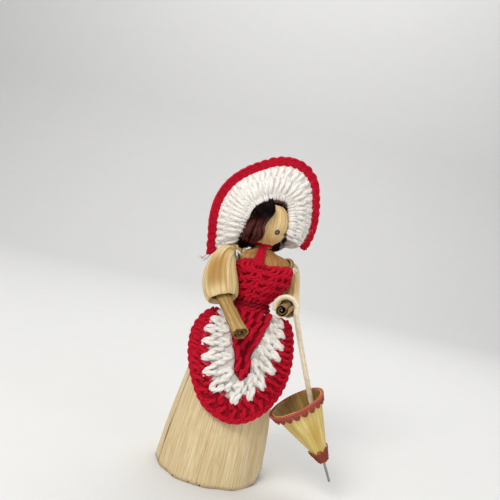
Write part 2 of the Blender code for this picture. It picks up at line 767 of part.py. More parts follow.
def make_arm(side, shoulder, elbow, hand, reaches, sleeve_radius, roll_radius, looks, upper, lower):
    husk, cream, wire, yarn = looks
    spine = Path(bezier(shoulder, reaches[0], reaches[1], elbow, 16))
    lip = roll_radius * CUFF_EASE_SHARE
    sleeve = put(side + "_sleeve", sleeve_mesh(side + "_sleeve", spine, sleeve_radius, lip), cream, upper)
    solidify(sleeve, HUSK)
    thin = SLEEVE_TOP_RADIUS - SLEEVE_PLEAT_DEPTH * HALF - GAP
    stop = 1 - (roll_radius * ELBOW_CLEAR_SHARE + GAP) / spine.length
    start = GAP / spine.length
    outer = [(start, thin)]
    for share, swell in ROLL_SWELL_SHARES:
        outer.append((share, mix(thin, roll_radius, swell)))
    outer.append((stop, mix(thin, roll_radius, HALF)))
    stations = outer + [(share, WIRE_BORE) for share, radius in reversed(outer)]
    put(side + "_upper_arm_roll", swept(side + "_upper_arm_roll", spine, stations, 10), husk, upper)
    near = (WIRE_RADIUS + GAP) / spine.length
    run = [spine.frame(share)[0] for share, radius in outer] + [spine.frame(1 - near)[0]]
    cord(side + "_upper_arm_wire", run, WIRE_RADIUS, wire, upper)
    seat, along, across, other = spine.frame(SHOULDER_TIE_SHARE)
    gathers = Path([seat - along * SLEEVE_TOP_RADIUS, seat + along * SLEEVE_TOP_RADIUS])
    top = SLEEVE_TOP_RADIUS + HUSK + GAP * 2
    winding(side + "_shoulder_tie", gathers, HALF, top, SHOULDER_YARN_RADIUS, 1, yarn, upper)

    forearm = Path([elbow, hand])
    forearm_roll(side + "_forearm_roll", forearm, roll_radius, cream, lower)
    end = 1 - WIRE_RADIUS / forearm.length
    run = [forearm.frame(share)[0] for share in (WIRE_RADIUS / forearm.length, end)]
    cord(side + "_forearm_wire", run, WIRE_RADIUS, wire, lower)
    return forearm


# Head

def head_place(longitude, latitude, radius):
    """Place round the head; longitude runs from the front to the viewer's left."""
    flat = math.cos(latitude) * radius
    return HEAD + Vector((
        -math.sin(longitude) * flat, -math.cos(longitude) * flat, math.sin(latitude) * radius,
    ))


def make_head(body, husk, foam, hair):
    ball = bpy.data.meshes.new("head_ball")
    grid = bmesh.new()
    bmesh.ops.create_uvsphere(grid, u_segments=16, v_segments=10, radius=HEAD_RADIUS - HUSK - GAP)
    bmesh.ops.translate(grid, verts=grid.verts, vec=HEAD)
    grid.to_mesh(ball)
    grid.free()
    put("head_ball", ball, foam, body)

    seat = NECK_TOP + GAP - HEAD.z
    neck_angle = math.asin((NECK_RADIUS + HUSK) / HEAD_RADIUS)
    steps = 9
    profile = []
    for index in range(steps + 1):
        angle = (math.pi - neck_angle * NECK_FILLET_SHARE) * index / steps
        profile.append((HEAD_RADIUS * math.sin(angle), HEAD_RADIUS * math.cos(angle)))
    profile.append((NECK_RADIUS + HUSK * HALF, profile[-1][1] + (seat - profile[-1][1]) * HALF))
    profile.append((NECK_RADIUS, seat))
    mesh = bpy.data.meshes.new("head_husk")
    line = bmesh.new()
    points = [line.verts.new((x, 0, z)) for x, z in profile]
    for first, second in zip(points, points[1:]):
        line.edges.new((first, second))
    line.to_mesh(mesh)
    line.free()
    made = bpy.data.objects.new("head_husk", mesh)
    mesh.materials.append(husk)
    made.parent = body.empty
    made.location = HEAD - body.origin
    doll.objects.link(made)
    turn = made.modifiers.new("Turn", "SCREW")
    turn.axis = "Z"
    turn.steps = turn.render_steps = 18
    turn.use_merge_vertices = True
    turn.merge_threshold = WELD
    turn.use_smooth_shade = True
    solidify(made, HUSK)

    def waved(radius, u, waves):
        return radius + HAIR_WAVE * math.cos(u * waves * math.tau)

    base = HEAD_RADIUS + GAP + HAIR_WAVE

    def cap(u, row):
        longitude = mix(math.radians(72), math.radians(262), u)
        latitude = mix(math.radians(-32), math.radians(78), row / 6)
        return head_place(longitude, latitude, waved(base, u, 8))

    def left_lock(u, row):
        longitude = mix(math.radians(2), math.radians(66), u)
        latitude = mix(math.radians(-40), math.radians(52), row / 6)
        place = head_place(longitude, latitude, waved(base, u, 3))
        if row == 0:
            place.z -= LOCK_DROP
        return place

    def right_lock(u, row):
        longitude = mix(math.radians(-94), math.radians(-70), 1 - u)
        latitude = mix(math.radians(-38), math.radians(62), row / 6)
        return head_place(longitude, latitude, waved(base, u, 1))

    def fringe(u, row):
        longitude = mix(math.radians(-66), math.radians(-2), u)
        latitude = mix(math.radians(40), math.radians(72), row / 3)
        return head_place(longitude, latitude, waved(base, u, 3))

    locks = (("hair_cap", cap, 20, 6), ("hair_left", right_lock, 4, 6), ("hair_right", left_lock, 8, 6),
             ("hair_fringe", fringe, 8, 3))
    for name, place, columns, rows in locks:
        made = put(name, surface(name, columns, rows, place, away=HEAD), hair, body)
        solidify(made, HAIR_WALL, outward=True)

    for name, longitude in (("eye_right", RIGHT_EYE_LONGITUDE), ("eye_left", LEFT_EYE_LONGITUDE)):
        bead = bpy.data.meshes.new(name)
        grid = bmesh.new()
        bmesh.ops.create_uvsphere(grid, u_segments=10, v_segments=6, radius=1)
        grid.to_mesh(bead)
        grid.free()
        made = bpy.data.objects.new(name, bead)
        bead.materials.append(bead_look)
        bead.shade_smooth()
        outward = (head_place(longitude, EYE_LATITUDE, 1) - HEAD).normalized()
        for vertex in bead.vertices:
            vertex.co.x *= EYE_RADIUS
            vertex.co.y *= EYE_RADIUS
            vertex.co.z *= EYE_BULGE
        made.rotation_mode = "QUATERNION"
        made.rotation_quaternion = outward.to_track_quat("Z", "Y")
        made.location = HEAD + outward * (HEAD_RADIUS + GAP + EYE_BULGE) - body.origin
        made.parent = body.empty
        doll.objects.link(made)


# Bonnet

def brim_share(angle):
    """How far the brim has opened at an angle: 1 on the brim, 0 at the nape."""
    opened = step(BRIM_START - NAPE_BLEND, BRIM_START + NAPE_BLEND, angle)
    closed = step(BRIM_END - NAPE_BLEND, BRIM_END + NAPE_BLEND, angle)
    return opened * (1 - closed)


def brim_outer(angle):
    return BONNET_RADIUS * smooth(BRIM_OUTER_SHARES, math.degrees(angle))


def brim_back(angle):
    """How far back the brim's edge lies; its long end passes behind the shoulder."""
    return BRIM_SETBACK + BRIM_END_SETBACK * step(BRIM_END - BRIM_END_SPREAD, BRIM_END, angle)


def bonnet_place(angle, radius, depth):
    return HEAD + Vector((radius * math.cos(angle), depth - HEAD.y, radius * math.sin(angle)))


def make_bonnet(body, white, red):
    crown = len(CROWN_SHARES)
    rows = 8

    def crown_place(angle, row, opened):
        across, back = CROWN_SHARES[row]
        nape_back = max(back, NAPE_CROWN_SHARE)
        radius = mix(CROWN_RING_RADIUS, CROWN_RADIUS, across)
        return bonnet_place(angle, radius, CROWN_DEPTH * mix(nape_back, back, opened))

    def brim_place(angle, row, opened):
        share = (row - crown) / (rows - crown)
        inner = CROWN_RADIUS * smooth(BRIM_INNER_SHARES, math.degrees(angle))
        outer = brim_outer(angle) - EDGING_RADIUS * 2 - GAP
        fold = -BRIM_FOLD * smooth(BRIM_FOLD_SHARES, math.degrees(angle)) * opened
        puff = BRIM_PUFF * math.sin(share * math.pi)
        depth = mix(fold, brim_back(angle), step(0, 1, share)) - puff
        nape_radius = CROWN_RADIUS + NAPE_STEP * (row - crown + 1)
        nape_depth = CROWN_DEPTH * NAPE_DEPTH_SHARE - NAPE_STEP * (row - crown + 1)
        radius = mix(nape_radius, mix(inner, outer, share), opened)
        return bonnet_place(angle, radius, mix(nape_depth, depth, opened))

    def place(u, row):
        angle = math.radians(-90) + math.tau * u
        opened = brim_share(angle)
        return crown_place(angle, row, opened) if row < crown else brim_place(angle, row, opened)

    inside = HEAD - FRONT * CROWN_DEPTH * HALF
    made = put("bonnet", surface("bonnet", 40, rows, place, away=inside), white, body)
    solidify(made, CROCHET, outward=True).use_even_offset = False

    points = []
    radii = []
    count = EDGING_SCALLOPS * 2
    first = BRIM_START + NAPE_BLEND * HALF
    last = BRIM_END - NAPE_BLEND * HALF
    for index in range(count + 1):
        angle = mix(first, last, index / count)
        radius = brim_outer(angle) - EDGING_RADIUS
        points.append(bonnet_place(angle, radius, brim_back(angle)))
        radii.append(1 if index % 2 else 1 - EDGING_SCALLOP_DEPTH / EDGING_RADIUS)
    cord("bonnet_edging", points, EDGING_RADIUS, red, body, radii=radii)


# Parasol

def make_parasol(body, forearm, cream, husk, coral, wire):
    axis = PARASOL_AXIS.normalized()
    cone = Path([PARASOL_MOUTH, PARASOL_MOUTH + axis * PARASOL_HEIGHT])
    lift = (HUSK + GAP) * (math.tau + PARASOL_LAP) / math.tau

    def canopy(u, row):
        radius = mix(PARASOL_RADIUS, PARASOL_TIP_RADIUS, row / 3)
        return cone.around(row / 3, u * (math.tau + PARASOL_LAP), radius + lift * u)

    inside = cone.frame(HALF)[0]
    made = put("parasol_canopy", surface("parasol_canopy", 26, 3, canopy, away=inside), husk, body)
    solidify(made, HUSK)

    lace_inner = PARASOL_RADIUS + lift + GAP * 2
    slope = (PARASOL_RADIUS - PARASOL_TIP_RADIUS) / PARASOL_HEIGHT
    lace_rows = ((0.0, 0), (0.5, 1), (1.0, 0))

    def rim_lace(u, row):
        share, level = lace_rows[row]
        wave = RIM_LACE_SCALLOP_DEPTH * math.cos(u * math.tau * RIM_LACE_SCALLOPS) * (1 - level)
        down = (RIM_LACE_WIDTH + wave) * share - wave * (1 - share) - RIM_LACE_OVERHANG
        return cone.around(down / PARASOL_HEIGHT, u * math.tau, lace_inner - slope * down)

    made = put("parasol_rim_lace", surface("parasol_rim_lace", RIM_LACE_SCALLOPS * 2, 2, rim_lace,
               away=cone.frame(HALF)[0]), coral, body)
    solidify(made, RIM_LACE_WALL, outward=True)

    def tip_lace(u, row):
        down = PARASOL_HEIGHT - TIP_LACE_LENGTH + TIP_LACE_LENGTH * min(row, 2) * HALF
        radius = mix(PARASOL_RADIUS, PARASOL_TIP_RADIUS, down / PARASOL_HEIGHT) + lift + GAP * 2
        if row == 3:
            down += HUSK + TIP_LACE_WALL
            radius = HANDLE_WIRE_RADIUS + HUSK + GAP
        return cone.around(down / PARASOL_HEIGHT, u * math.tau, radius)

    made = put("parasol_tip_lace", surface("parasol_tip_lace", 16, 3, tip_lace, away=cone.frame(HALF)[0]),
               coral, body)
    solidify(made, TIP_LACE_WALL, outward=True)

    hook_centre, run, side, other = forearm.frame(HOOK_SHARE)
    level = (ACROSS - run * ACROSS.dot(run)).normalized()
    rise = (UP - run * UP.dot(run)).normalized()
    points = []
    count = 14
    for index in range(count + 1):
        angle = mix(HOOK_START, HOOK_END, index / count)
        points.append(hook_centre + (level * math.cos(angle) + rise * math.sin(angle)) * HOOK_RADIUS)
    tip = cone.frame(1)[0]
    first_reach = (HANDLE_ENTRY - points[-1]) * HANDLE_REACH_SHARES[0]
    last_reach = (tip - HANDLE_ENTRY) * HANDLE_REACH_SHARES[1]
    points += bezier(points[-1], first_reach, last_reach, tip, 8)[1:]
    route = Path(points)
    wrap_end = 1 - WRAP_STOP / route.length
    shares = [distance / route.length for distance in route.along]
    outer = [(share, HANDLE_RADIUS) for share in shares if share < wrap_end]
    outer.append((wrap_end, HANDLE_RADIUS))
    bore = HANDLE_WIRE_RADIUS + GAP
    loop = outer + [(share, bore) for share, radius in reversed(outer)]
    put("parasol_handle", swept("parasol_handle", route, loop, 6), cream, body)
    wire_points = [route.frame(share)[0] for share in shares]
    wire_points.append(TIP_WIRE_END)
    cord("parasol_wire", wire_points, HANDLE_WIRE_RADIUS, wire, body)


# Assembly

def stand_on_origin():
    """Move the doll so that the middle of its box's underside is the origin."""
    bpy.context.view_layer.update()
    shapes = bpy.context.evaluated_depsgraph_get()
    low = None
    high = None
    for piece in doll.objects:
        if piece.type != "MESH":
            continue
        seen = piece.evaluated_get(shapes)
        for vertex in seen.data.vertices:
            place = piece.matrix_world @ vertex.co
            low = place.copy() if low is None else Vector(map(min, low, place))
            high = place.copy() if high is None else Vector(map(max, high, place))
    root.empty.location = Vector((-(low.x + high.x) * HALF, -(low.y + high.y) * HALF, -low.z))
    bpy.context.view_layer.update()


clear_scene()
doll = bpy.data.collections.new("corn_husk_doll")
cutters = bpy.data.collections.new("cutters")
bpy.context.scene.collection.children.link(doll)
bpy.context.scene.collection.children.link(cutters)

husk_look = material("pale_corn_husk", "D9C08C", 0.62)
inner_husk_look = material("inner_corn_husk", "C9AE7A", 0.7)
ochre_look = material("ochre_corn_husk", "B98A4A", 0.62)
cream_look = material("cream_corn_husk", "E2CF9F", 0.55)
face_look = material("face_corn_husk", "D8B781", 0.58)
canopy_look = material("yellow_corn_husk", "D9B56C", 0.55)
red_look = material("red_acrylic_yarn", "C4122F", 0.9)
white_look = material("white_acrylic_yarn", "F3F0EC", 0.92)
coral_look = material("coral_yarn", "C9604F", 0.85)
hair_look = material("auburn_hair", "3A1512", 0.45)
thread_look = material("cotton_thread", "E9E2D2", 0.8)
foam_look = material("foam_ball", "EFEDE6", 0.9)
bead_look = material("brown_bead", "3B1D12", 0.2)
wire_look = material("steel_wire", "8C8A84", 0.35, 1.0)
handle_look = material("handle_wrap", "E8DFC8", 0.5)

HEAD = Vector((NECK_X, NECK_Y, HEAD_CENTRE_HEIGHT))

root = Body("doll", Vector((0, 0, 0)))
head = Body("head", Vector((NECK_X, NECK_Y, NECK_TOP)), root)
right_arm = Body("right_arm", RIGHT_SHOULDER, root)
right_forearm = Body("right_forearm", RIGHT_ELBOW, right_arm)
left_arm = Body("left_arm", LEFT_SHOULDER, root)
left_forearm = Body("left_forearm", LEFT_ELBOW, left_arm)
hook = Body("parasol", mix(LEFT_ELBOW, LEFT_HAND, HOOK_SHARE), left_forearm)

make_skirt(root, husk_look, inner_husk_look)
make_torso(root, husk_look, ochre_look, thread_look)
make_bodice(root, red_look)
make_apron(root, red_look, white_look)
arm_looks = (husk_look, cream_look, wire_look, white_look)
make_arm("right", RIGHT_SHOULDER, RIGHT_ELBOW, RIGHT_HAND, (RIGHT_SHOULDER_REACH, RIGHT_CUFF_REACH),
         RIGHT_SLEEVE_RADIUS, RIGHT_FOREARM_RADIUS, arm_looks, right_arm, right_forearm)
left_path = make_arm("left", LEFT_SHOULDER, LEFT_ELBOW, LEFT_HAND, (LEFT_SHOULDER_REACH, LEFT_CUFF_REACH),
                     LEFT_SLEEVE_RADIUS, LEFT_FOREARM_RADIUS, arm_looks, left_arm, left_forearm)
make_head(head, face_look, foam_look, hair_look)
make_bonnet(head, white_look, red_look)
make_parasol(hook, left_path, handle_look, canopy_look, coral_look, wire_look)
stand_on_origin()
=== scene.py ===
"""Looks of a corn husk doll in crochet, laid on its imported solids.

Run as a script. Lengths are in metres, and a piece's UV map is in millimetres.
X points to the viewer's right when the doll faces the viewer, Y away from the viewer, Z up.
"""

import math

import bpy
import numpy as np
from bpy.props import FloatProperty, FloatVectorProperty, IntProperty, PointerProperty
from bpy.types import Operator, Panel, PropertyGroup
from mathutils import Matrix, Vector


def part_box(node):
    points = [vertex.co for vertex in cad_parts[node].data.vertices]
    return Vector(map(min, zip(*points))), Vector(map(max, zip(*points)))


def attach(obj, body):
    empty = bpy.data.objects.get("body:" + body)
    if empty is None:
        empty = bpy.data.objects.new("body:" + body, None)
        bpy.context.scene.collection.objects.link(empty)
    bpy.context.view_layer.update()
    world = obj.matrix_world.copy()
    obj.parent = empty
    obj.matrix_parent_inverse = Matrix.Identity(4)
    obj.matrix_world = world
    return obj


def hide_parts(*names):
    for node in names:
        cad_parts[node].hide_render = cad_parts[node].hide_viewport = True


bl_info = {
    "name": "Corn Husk Doll",
    "version": (1, 0, 0),
    "blender": (4, 5, 0),
    "location": "3D View > Sidebar > Doll",
    "description": "Crochet, husk leaves, hair and lace of a corn husk doll with a parasol",
    "category": "Object",
}

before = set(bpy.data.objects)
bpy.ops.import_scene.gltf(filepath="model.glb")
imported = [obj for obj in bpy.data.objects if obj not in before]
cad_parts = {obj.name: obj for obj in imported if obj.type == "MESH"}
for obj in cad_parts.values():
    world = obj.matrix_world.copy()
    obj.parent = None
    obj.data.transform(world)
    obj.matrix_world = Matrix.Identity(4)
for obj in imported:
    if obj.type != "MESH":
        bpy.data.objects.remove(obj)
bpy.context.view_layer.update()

TAU = math.tau
HALF = 0.5
MM = 0.001
ACROSS = Vector((1, 0, 0))
FRONT = Vector((0, -1, 0))
UP = Vector((0, 0, 1))

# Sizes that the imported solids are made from
GAP = 0.0003
HUSK = 0.0006
SKIRT_HEIGHT = 0.0915
HEM_RADIUS = 0.0298
WAIST_RADIUS = 0.0083
HEM_FOOT = 0.0012
COLLAR = 0.0032
SKIRT_LEAN = 0.0034
HEM_RISE = 0.0045
PLEAT_DEPTH = 0.0009
SKIRT_SWELL = (
    (0.0, 1.0), (0.22, 0.93), (0.39, 0.85), (0.60, 0.73), (0.73, 0.58),
    (0.84, 0.385), (0.93, 0.17), (1.0, 0.0),
)
PLEATS = ((0.0, 1.0), (0.5, 0.8), (0.85, 0.5), (1.0, 0.15))
LEAVES = 6
LEAF_ANGLE = TAU / LEAVES
LEAF_LAP = math.radians(14)
LEAF_EDGE = math.radians(-8)
LEAF_LIFT = (HUSK + GAP) * (LEAF_ANGLE + LEAF_LAP) / LEAF_ANGLE
LINING_DEPTH = LEAF_LIFT + HUSK + GAP

NECK_TOP = 0.1230
NECK_RADIUS = 0.0037
NECK_Y = -0.0005
TORSO_HALF_WIDTH = 0.0108
TORSO_HALF_DEPTH = 0.0076
TORSO_SWAY = 0.0072
BUNDLE_BOTTOM = SKIRT_HEIGHT - COLLAR - 0.0110
BUNDLE_WAIST = WAIST_RADIUS - PLEAT_DEPTH * HALF - LINING_DEPTH - HUSK - GAP
BUNDLE_WIDTH = (
    (0.0, 0.0), (0.14, 0.04), (0.27, 0.36), (0.43, 0.74), (0.57, 0.96), (0.69, 0.90), (0.78, 0.64),
    (0.86, 0.26), (0.92, 0.02), (1.0, 0.0),
)
BUNDLE_SWAY = ((0.0, 0.47), (0.15, 0.64), (0.32, 0.86), (0.55, 1.0), (0.78, 0.80), (1.0, 0.53))
CHEST_BOTTOM = 0.0920
CHEST_HEIGHT = 0.0212
CHEST_LAP = math.radians(40)
CHEST_LIFT = (HUSK + GAP) * (TAU + CHEST_LAP) / TAU
# The chest husk above the bodice, gathered over the shoulders to the neck: height, middle, half sizes and Y
YOKE_TOP = 0.1222
YOKE_SQUARE = 0.72
YOKE = (
    (0.1080, 0.0060, 0.0130, 0.0086, 0.0), (0.1118, 0.0054, 0.0146, 0.0070, 0.0),
    (0.1145, 0.0055, 0.0143, 0.0060, 0.0),
    (0.1170, 0.0055, 0.0139, 0.0048, 0.0004), (0.1192, 0.0050, 0.0116, 0.0038, -0.0006),
    (0.1206, 0.0042, 0.0070, 0.0040, -0.0008), (0.1222, 0.0038, 0.0046, 0.0044, -0.0008),
)
BODICE_BOTTOM = 0.0927
BODICE_FRONT = 0.0196
BODICE_BACK = 0.0160
# The neckline rises beside the strap and at the left side: height, angle in degrees and spread
BODICE_PEAKS = ((0.0022, -24, 24), (0.0034, 55, 30))
BODICE_EASE = GAP + HUSK + CHEST_LIFT + GAP
BODICE_WALL = 0.0020
THREAD_RADIUS = 0.00035
THREAD_GAP = 0.00045
# The strap's middle line: height, X, Y and the distance between its four cords
STRAP = (
    (0.1105, 0.0026, -0.0092, 0.0022), (0.1130, 0.0027, -0.0104, 0.0018),
    (0.1150, 0.0028, -0.0094, 0.0013), (0.1175, 0.0031, -0.0074, 0.0011),
    (0.1205, 0.0035, -0.0062, 0.0010), (0.1226, 0.0038, -0.0054, 0.0007),
)

APRON_TOP = SKIRT_HEIGHT - COLLAR + GAP
APRON_HALF_WIDTH = 0.0272
APRON_HEIGHT = 0.0548
APRON_X = 0.0038
APRON_WALL = 0.0022
APRON_EASE = 0.0009
APRON_CURL = 0.0320
APRON_EDGE = (
    (0.0, -0.68, 0.08), (0.07, -0.83, 0.14), (0.16, -0.95, 0.24), (0.27, -0.99, 0.38),
    (0.38, -0.86, 0.62), (0.45, -0.48, 0.90), (0.5, 0.05, 1.0), (0.56, 0.52, 0.92),
    (0.64, 0.86, 0.72), (0.75, 0.98, 0.46), (0.86, 0.93, 0.22), (0.95, 0.84, 0.10), (1.0, 0.74, 0.05),
)
APRON_BAND = (
    (0.0, -0.50, 0.06), (0.16, -0.68, 0.26), (0.30, -0.60, 0.50), (0.42, -0.38, 0.72),
    (0.5, 0.06, 0.80), (0.60, 0.42, 0.70), (0.72, 0.64, 0.46), (0.88, 0.70, 0.22), (1.0, 0.62, 0.04),
)
APRON_HEART = (
    (0.0, -0.30, 0.02), (0.18, -0.26, 0.22), (0.34, -0.10, 0.42), (0.44, -0.04, 0.56),
    (0.5, 0.10, 0.61), (0.57, 0.24, 0.55), (0.68, 0.20, 0.40), (0.84, 0.34, 0.20), (1.0, 0.44, 0.02),
)
TONGUE = 0.98

SLEEVE_TOP = 0.0029
SLEEVE_ROWS = (
    (0.07, 0.0, 0), (0.15, 0.0, 0.3), (0.24, 0.40, 1), (0.42, 0.66, 1), (0.60, 0.88, 1),
    (0.80, 1.0, 1), (0.97, 0.90, 1), (1.06, 0.58, 1), (1.035, 0.22, 0), (1.0, 0.0, 0),
)
CUFF_EASE = 1.24
TIE_SHARE = 0.115
TIE_RADIUS = 0.0006
WIRE_BORE = 0.0009
ROLL_SWELL = ((0.12, 0.0), (0.24, 0.2), (0.38, 0.45), (0.52, 0.7), (0.66, 0.9), (0.80, 1.0))
ARMS = {
    "right": {
        "shoulder": (-0.0075, -0.0010, 0.1180), "elbow": (-0.0122, -0.0132, 0.0935),
        "hand": (0.0012, -0.0340, 0.0790), "reach": (-0.0115, -0.0030, 0.0005),
        "cuff": (0.0040, -0.0045, -0.0085), "sleeve": 0.0093, "roll": 0.0041, "press": 0.16,
    },
    "left": {
        "shoulder": (0.0167, 0.0017, 0.1163), "elbow": (0.0240, -0.0050, 0.0945),
        "hand": (0.0186, -0.0315, 0.0943), "reach": (0.0090, 0.0125, 0.0010),
        "cuff": (-0.0010, -0.0270, -0.0050), "sleeve": 0.0058, "roll": 0.0037, "press": 0.0,
    },
}

HEAD_RADIUS = 0.0120
HEAD = Vector((0.0038, -0.0005, 0.1365))
EYE_LATITUDE = math.radians(-21)
EYES = {"eye_right": (math.radians(-29), 1.12), "eye_left": (math.radians(-62), 0.75)}
BONNET_RADIUS = 0.0395
CROWN_RADIUS = 0.0153
CROWN_DEPTH = 0.0168
CROWN = ((0.0, 1.0), (0.45, 0.93), (0.82, 0.66), (1.0, 0.28))
NAPE_CROWN = 0.62
NAPE_DEPTH = 0.5
NAPE_STEP = 0.0003
CROWN_RING = 0.0012
BRIM_SETBACK = 0.0040
BRIM_END_SETBACK = 0.0052
BRIM_FOLD = 0.0085
BRIM_PUFF = 0.0016
EDGING_RADIUS = 0.0023
BRIM_START = math.radians(-30)
BRIM_END = math.radians(226)
BRIM_END_SPREAD = math.radians(50)
NAPE_BLEND = math.radians(13)
BRIM_OUTER = (
    (-60, 0.66), (-30, 0.66), (-12, 0.665), (5, 0.69), (24, 0.74), (40, 0.82), (55, 0.94), (68, 1.0),
    (80, 1.0), (92, 0.96), (108, 0.89), (125, 0.86), (145, 0.85), (165, 0.845), (185, 0.845),
    (205, 0.885), (218, 0.975), (230, 1.06), (250, 1.06),
)
BRIM_INNER = (
    (-60, 1.06), (-30, 1.03), (-14, 0.99), (10, 0.99), (30, 1.0), (59, 1.12), (87, 1.02), (117, 0.94),
    (150, 0.88), (180, 0.88), (200, 1.0), (220, 1.30), (235, 1.45), (250, 1.45),
)
# The lip where the brim meets the hair and the face: angles in degrees and radii in metres
LIP = (
    (-60, 0.0150), (-30, 0.0136), (-10, 0.0125), (33, 0.0128), (61, 0.0160), (81, 0.0142), (96, 0.0128),
    (124, 0.0114), (162, 0.0111), (185, 0.0128), (203, 0.0147), (218, 0.0200), (235, 0.0215), (250, 0.0215),
)
LIP_HUG = 0.0136
BONNET_ROWS = 9
BRIM_FOLDS = (
    (-60, 0.0), (-30, 0.3), (-14, 0.55), (30, 0.60), (59, 0.4), (87, 0.5), (117, 0.74), (150, 0.98),
    (180, 1.0), (200, 0.75), (220, 0.3), (250, 0.0),
)

PARASOL_RADIUS = 0.0137
PARASOL_HEIGHT = 0.0328
PARASOL_TIP = 0.0017
PARASOL_MOUTH = Vector((0.0374, -0.0175, 0.0480))
PARASOL_AXIS = Vector((0.616, 0, -0.788)).normalized()
PARASOL_LAP = math.radians(34)
HANDLE_RADIUS = 0.0014
HANDLE_ENTRY = Vector((0.0413, -0.0155, 0.0518))
HOOK_RADIUS = 0.0058
HOOK_SHARE = 0.40
HOOK_START = math.radians(205)
HOOK_END = math.radians(-14)
HANDLE_REACHES = (0.25, 0.3)
WRAP_STOP = 0.0037
LACE_WIDTH = 0.0045
LACE_SCALLOPS = 20
TIP_LACE = 0.0050

# The long lock's two edges, across and up from the head's middle as the camera sees them
LOCK_FACE = (
    (0.0, 0.0020, 0.0121), (0.2, 0.0031, 0.0052), (0.38, -0.0005, 0.0004), (0.52, -0.0025, -0.0029),
    (0.64, -0.0022, -0.0055), (0.78, -0.0039, -0.0082), (0.9, -0.0065, -0.0097), (1.0, -0.0080, -0.0112),
)
LOCK_EDGE = (
    (0.0, -0.0035, 0.0114), (0.2, -0.0102, 0.0060), (0.45, -0.0150, -0.0012), (0.65, -0.0184, -0.0066),
    (0.88, -0.0198, -0.0109), (1.0, -0.0178, -0.0142),
)
LOCK_BEND = 0.9

# The picture: a level camera, rolled because the doll leans in the photograph
CAMERA = Vector((-0.0029, -0.2900, 0.1199))
CAMERA_ROLL = math.radians(12.5)
CAMERA_LENS = 37.96
PICTURE_RIGHT = Vector((math.cos(CAMERA_ROLL), 0, math.sin(CAMERA_ROLL)))
PICTURE_UP = Vector((-math.sin(CAMERA_ROLL), 0, math.cos(CAMERA_ROLL)))


def linear(code):
    """Linear colour of an sRGB hex code."""
    shares = [int(code[at:at + 2], 16) / 255 for at in (0, 2, 4)]
    return (*[c / 12.92 if c <= 0.04045 else ((c + 0.055) / 1.055) ** 2.4 for c in shares], 1.0)


def middle_of(node):
    low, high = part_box(node)
    return (Vector(low) + Vector(high)) * HALF


# The solids stand on the origin: this is how far that moved them
SHIFT = middle_of("head_ball") - HEAD


# Settings that a user would change

def length(label, about, default):
    return FloatProperty(
        name=label, description=about, default=default, min=default * 0.2, max=default * 5,
        precision=5, subtype="DISTANCE", unit="LENGTH",
    )


def tint(label, about, code):
    return FloatVectorProperty(
        name=label, description=about, default=linear(code), min=0, max=1, size=4, subtype="COLOR",
    )


class DollSizes(PropertyGroup):
    yarn: length("Yarn radius", "Half the thickness of the worsted yarn in the crochet", 0.00064)
    edge_yarn: length("Edging yarn radius", "Half the thickness of the yarn in the bonnet's edging", 0.00082)
    lace_thread: length("Lace thread radius", "Half the thickness of the parasol's lace thread", 0.0003)
    husk_wall: length("Husk thickness", "Thickness of a husk leaf", 0.00028)
    vein: length("Vein spacing", "Distance between the husk's main veins", 0.0012)
    vein_height: length("Vein height", "How far a main vein stands out", 0.00007)
    hair: length("Hair thickness", "Half the thickness of a strand of hair", 0.00022)
    strands: IntProperty(name="Strands", description="Strands of hair in a lock", default=130, min=20, max=400)


class DollColours(PropertyGroup):
    red: tint("Red yarn", "Colour of the red crochet", "C4082A")
    white: tint("White yarn", "Colour of the white crochet", "F0EBE4")
    coral: tint("Coral thread", "Colour of the parasol's lace", "C66351")
    pale: tint("Pale husk", "Colour of the skirt's leaves", "D3BF96")
    cream: tint("Cream husk", "Colour of the sleeves and the rolled forearms", "DCC48E")
    ochre: tint("Ochre husk", "Colour of the chest and the neck", "AE7A3C")
    face: tint("Face husk", "Colour of the husk over the head", "D8BA7E")
    golden: tint("Golden husk", "Colour of the parasol", "D8BE6E")
    hair: tint("Hair", "Colour of the hair where the light catches it", "54150F")
    floor: tint("Floor", "Colour of the floor and the backdrop", "D6D6D5")


def sizes():
    return bpy.context.scene.doll_sizes


def colours():
    return bpy.context.scene.doll_colours


# Small helpers

def smooth(table, at, column=1):
    """Value at a position from a table of positions and values, along a smooth curve."""
    if at <= table[0][0]:
        return table[0][column]
    if at >= table[-1][0]:
        return table[-1][column]
    index = max(i for i in range(len(table) - 1) if table[i][0] <= at)
    x0, x1 = table[index][0], table[index + 1][0]
    y0, y1 = table[index][column], table[index + 1][column]
    before = table[max(index - 1, 0)]
    after = table[min(index + 2, len(table) - 1)]
    slope0 = (y1 - before[column]) / (x1 - before[0])
    slope1 = (after[column] - y0) / (after[0] - x0)
    span = x1 - x0
    t = (at - x0) / span
    low = (2 * t ** 3 - 3 * t ** 2 + 1) * y0 + (t ** 3 - 2 * t ** 2 + t) * span * slope0
    return low + (3 * t ** 2 - 2 * t ** 3) * y1 + (t ** 3 - t ** 2) * span * slope1


def step(low, high, at):
    t = min(max((at - low) / (high - low), 0), 1)
    return t * t * (3 - 2 * t)


def mix(first, second, share):
    return first + (second - first) * share


def unit(vectors):
    return vectors / np.maximum(np.linalg.norm(vectors, axis=-1, keepdims=True), 1e-12)


def waves(at, seed, count=5):
    """Smooth irregular wave between about -1 and 1."""
    total = 0.0
    for index in range(count):
        total += math.sin(at * (1 + 0.83 * index) + seed * (1.7 + index * 2.3)) / (1 + index * 0.6)
    return total / 2.2


def bezier(first, first_reach, last_reach, last, count):
    points = []
    for index in range(count + 1):
        t = index / count
        s = 1 - t
        inner = (first + first_reach) * 3 * s * s * t + (last - last_reach) * 3 * s * t * t
        points.append(first * s ** 3 + inner + last * t ** 3)
    return points


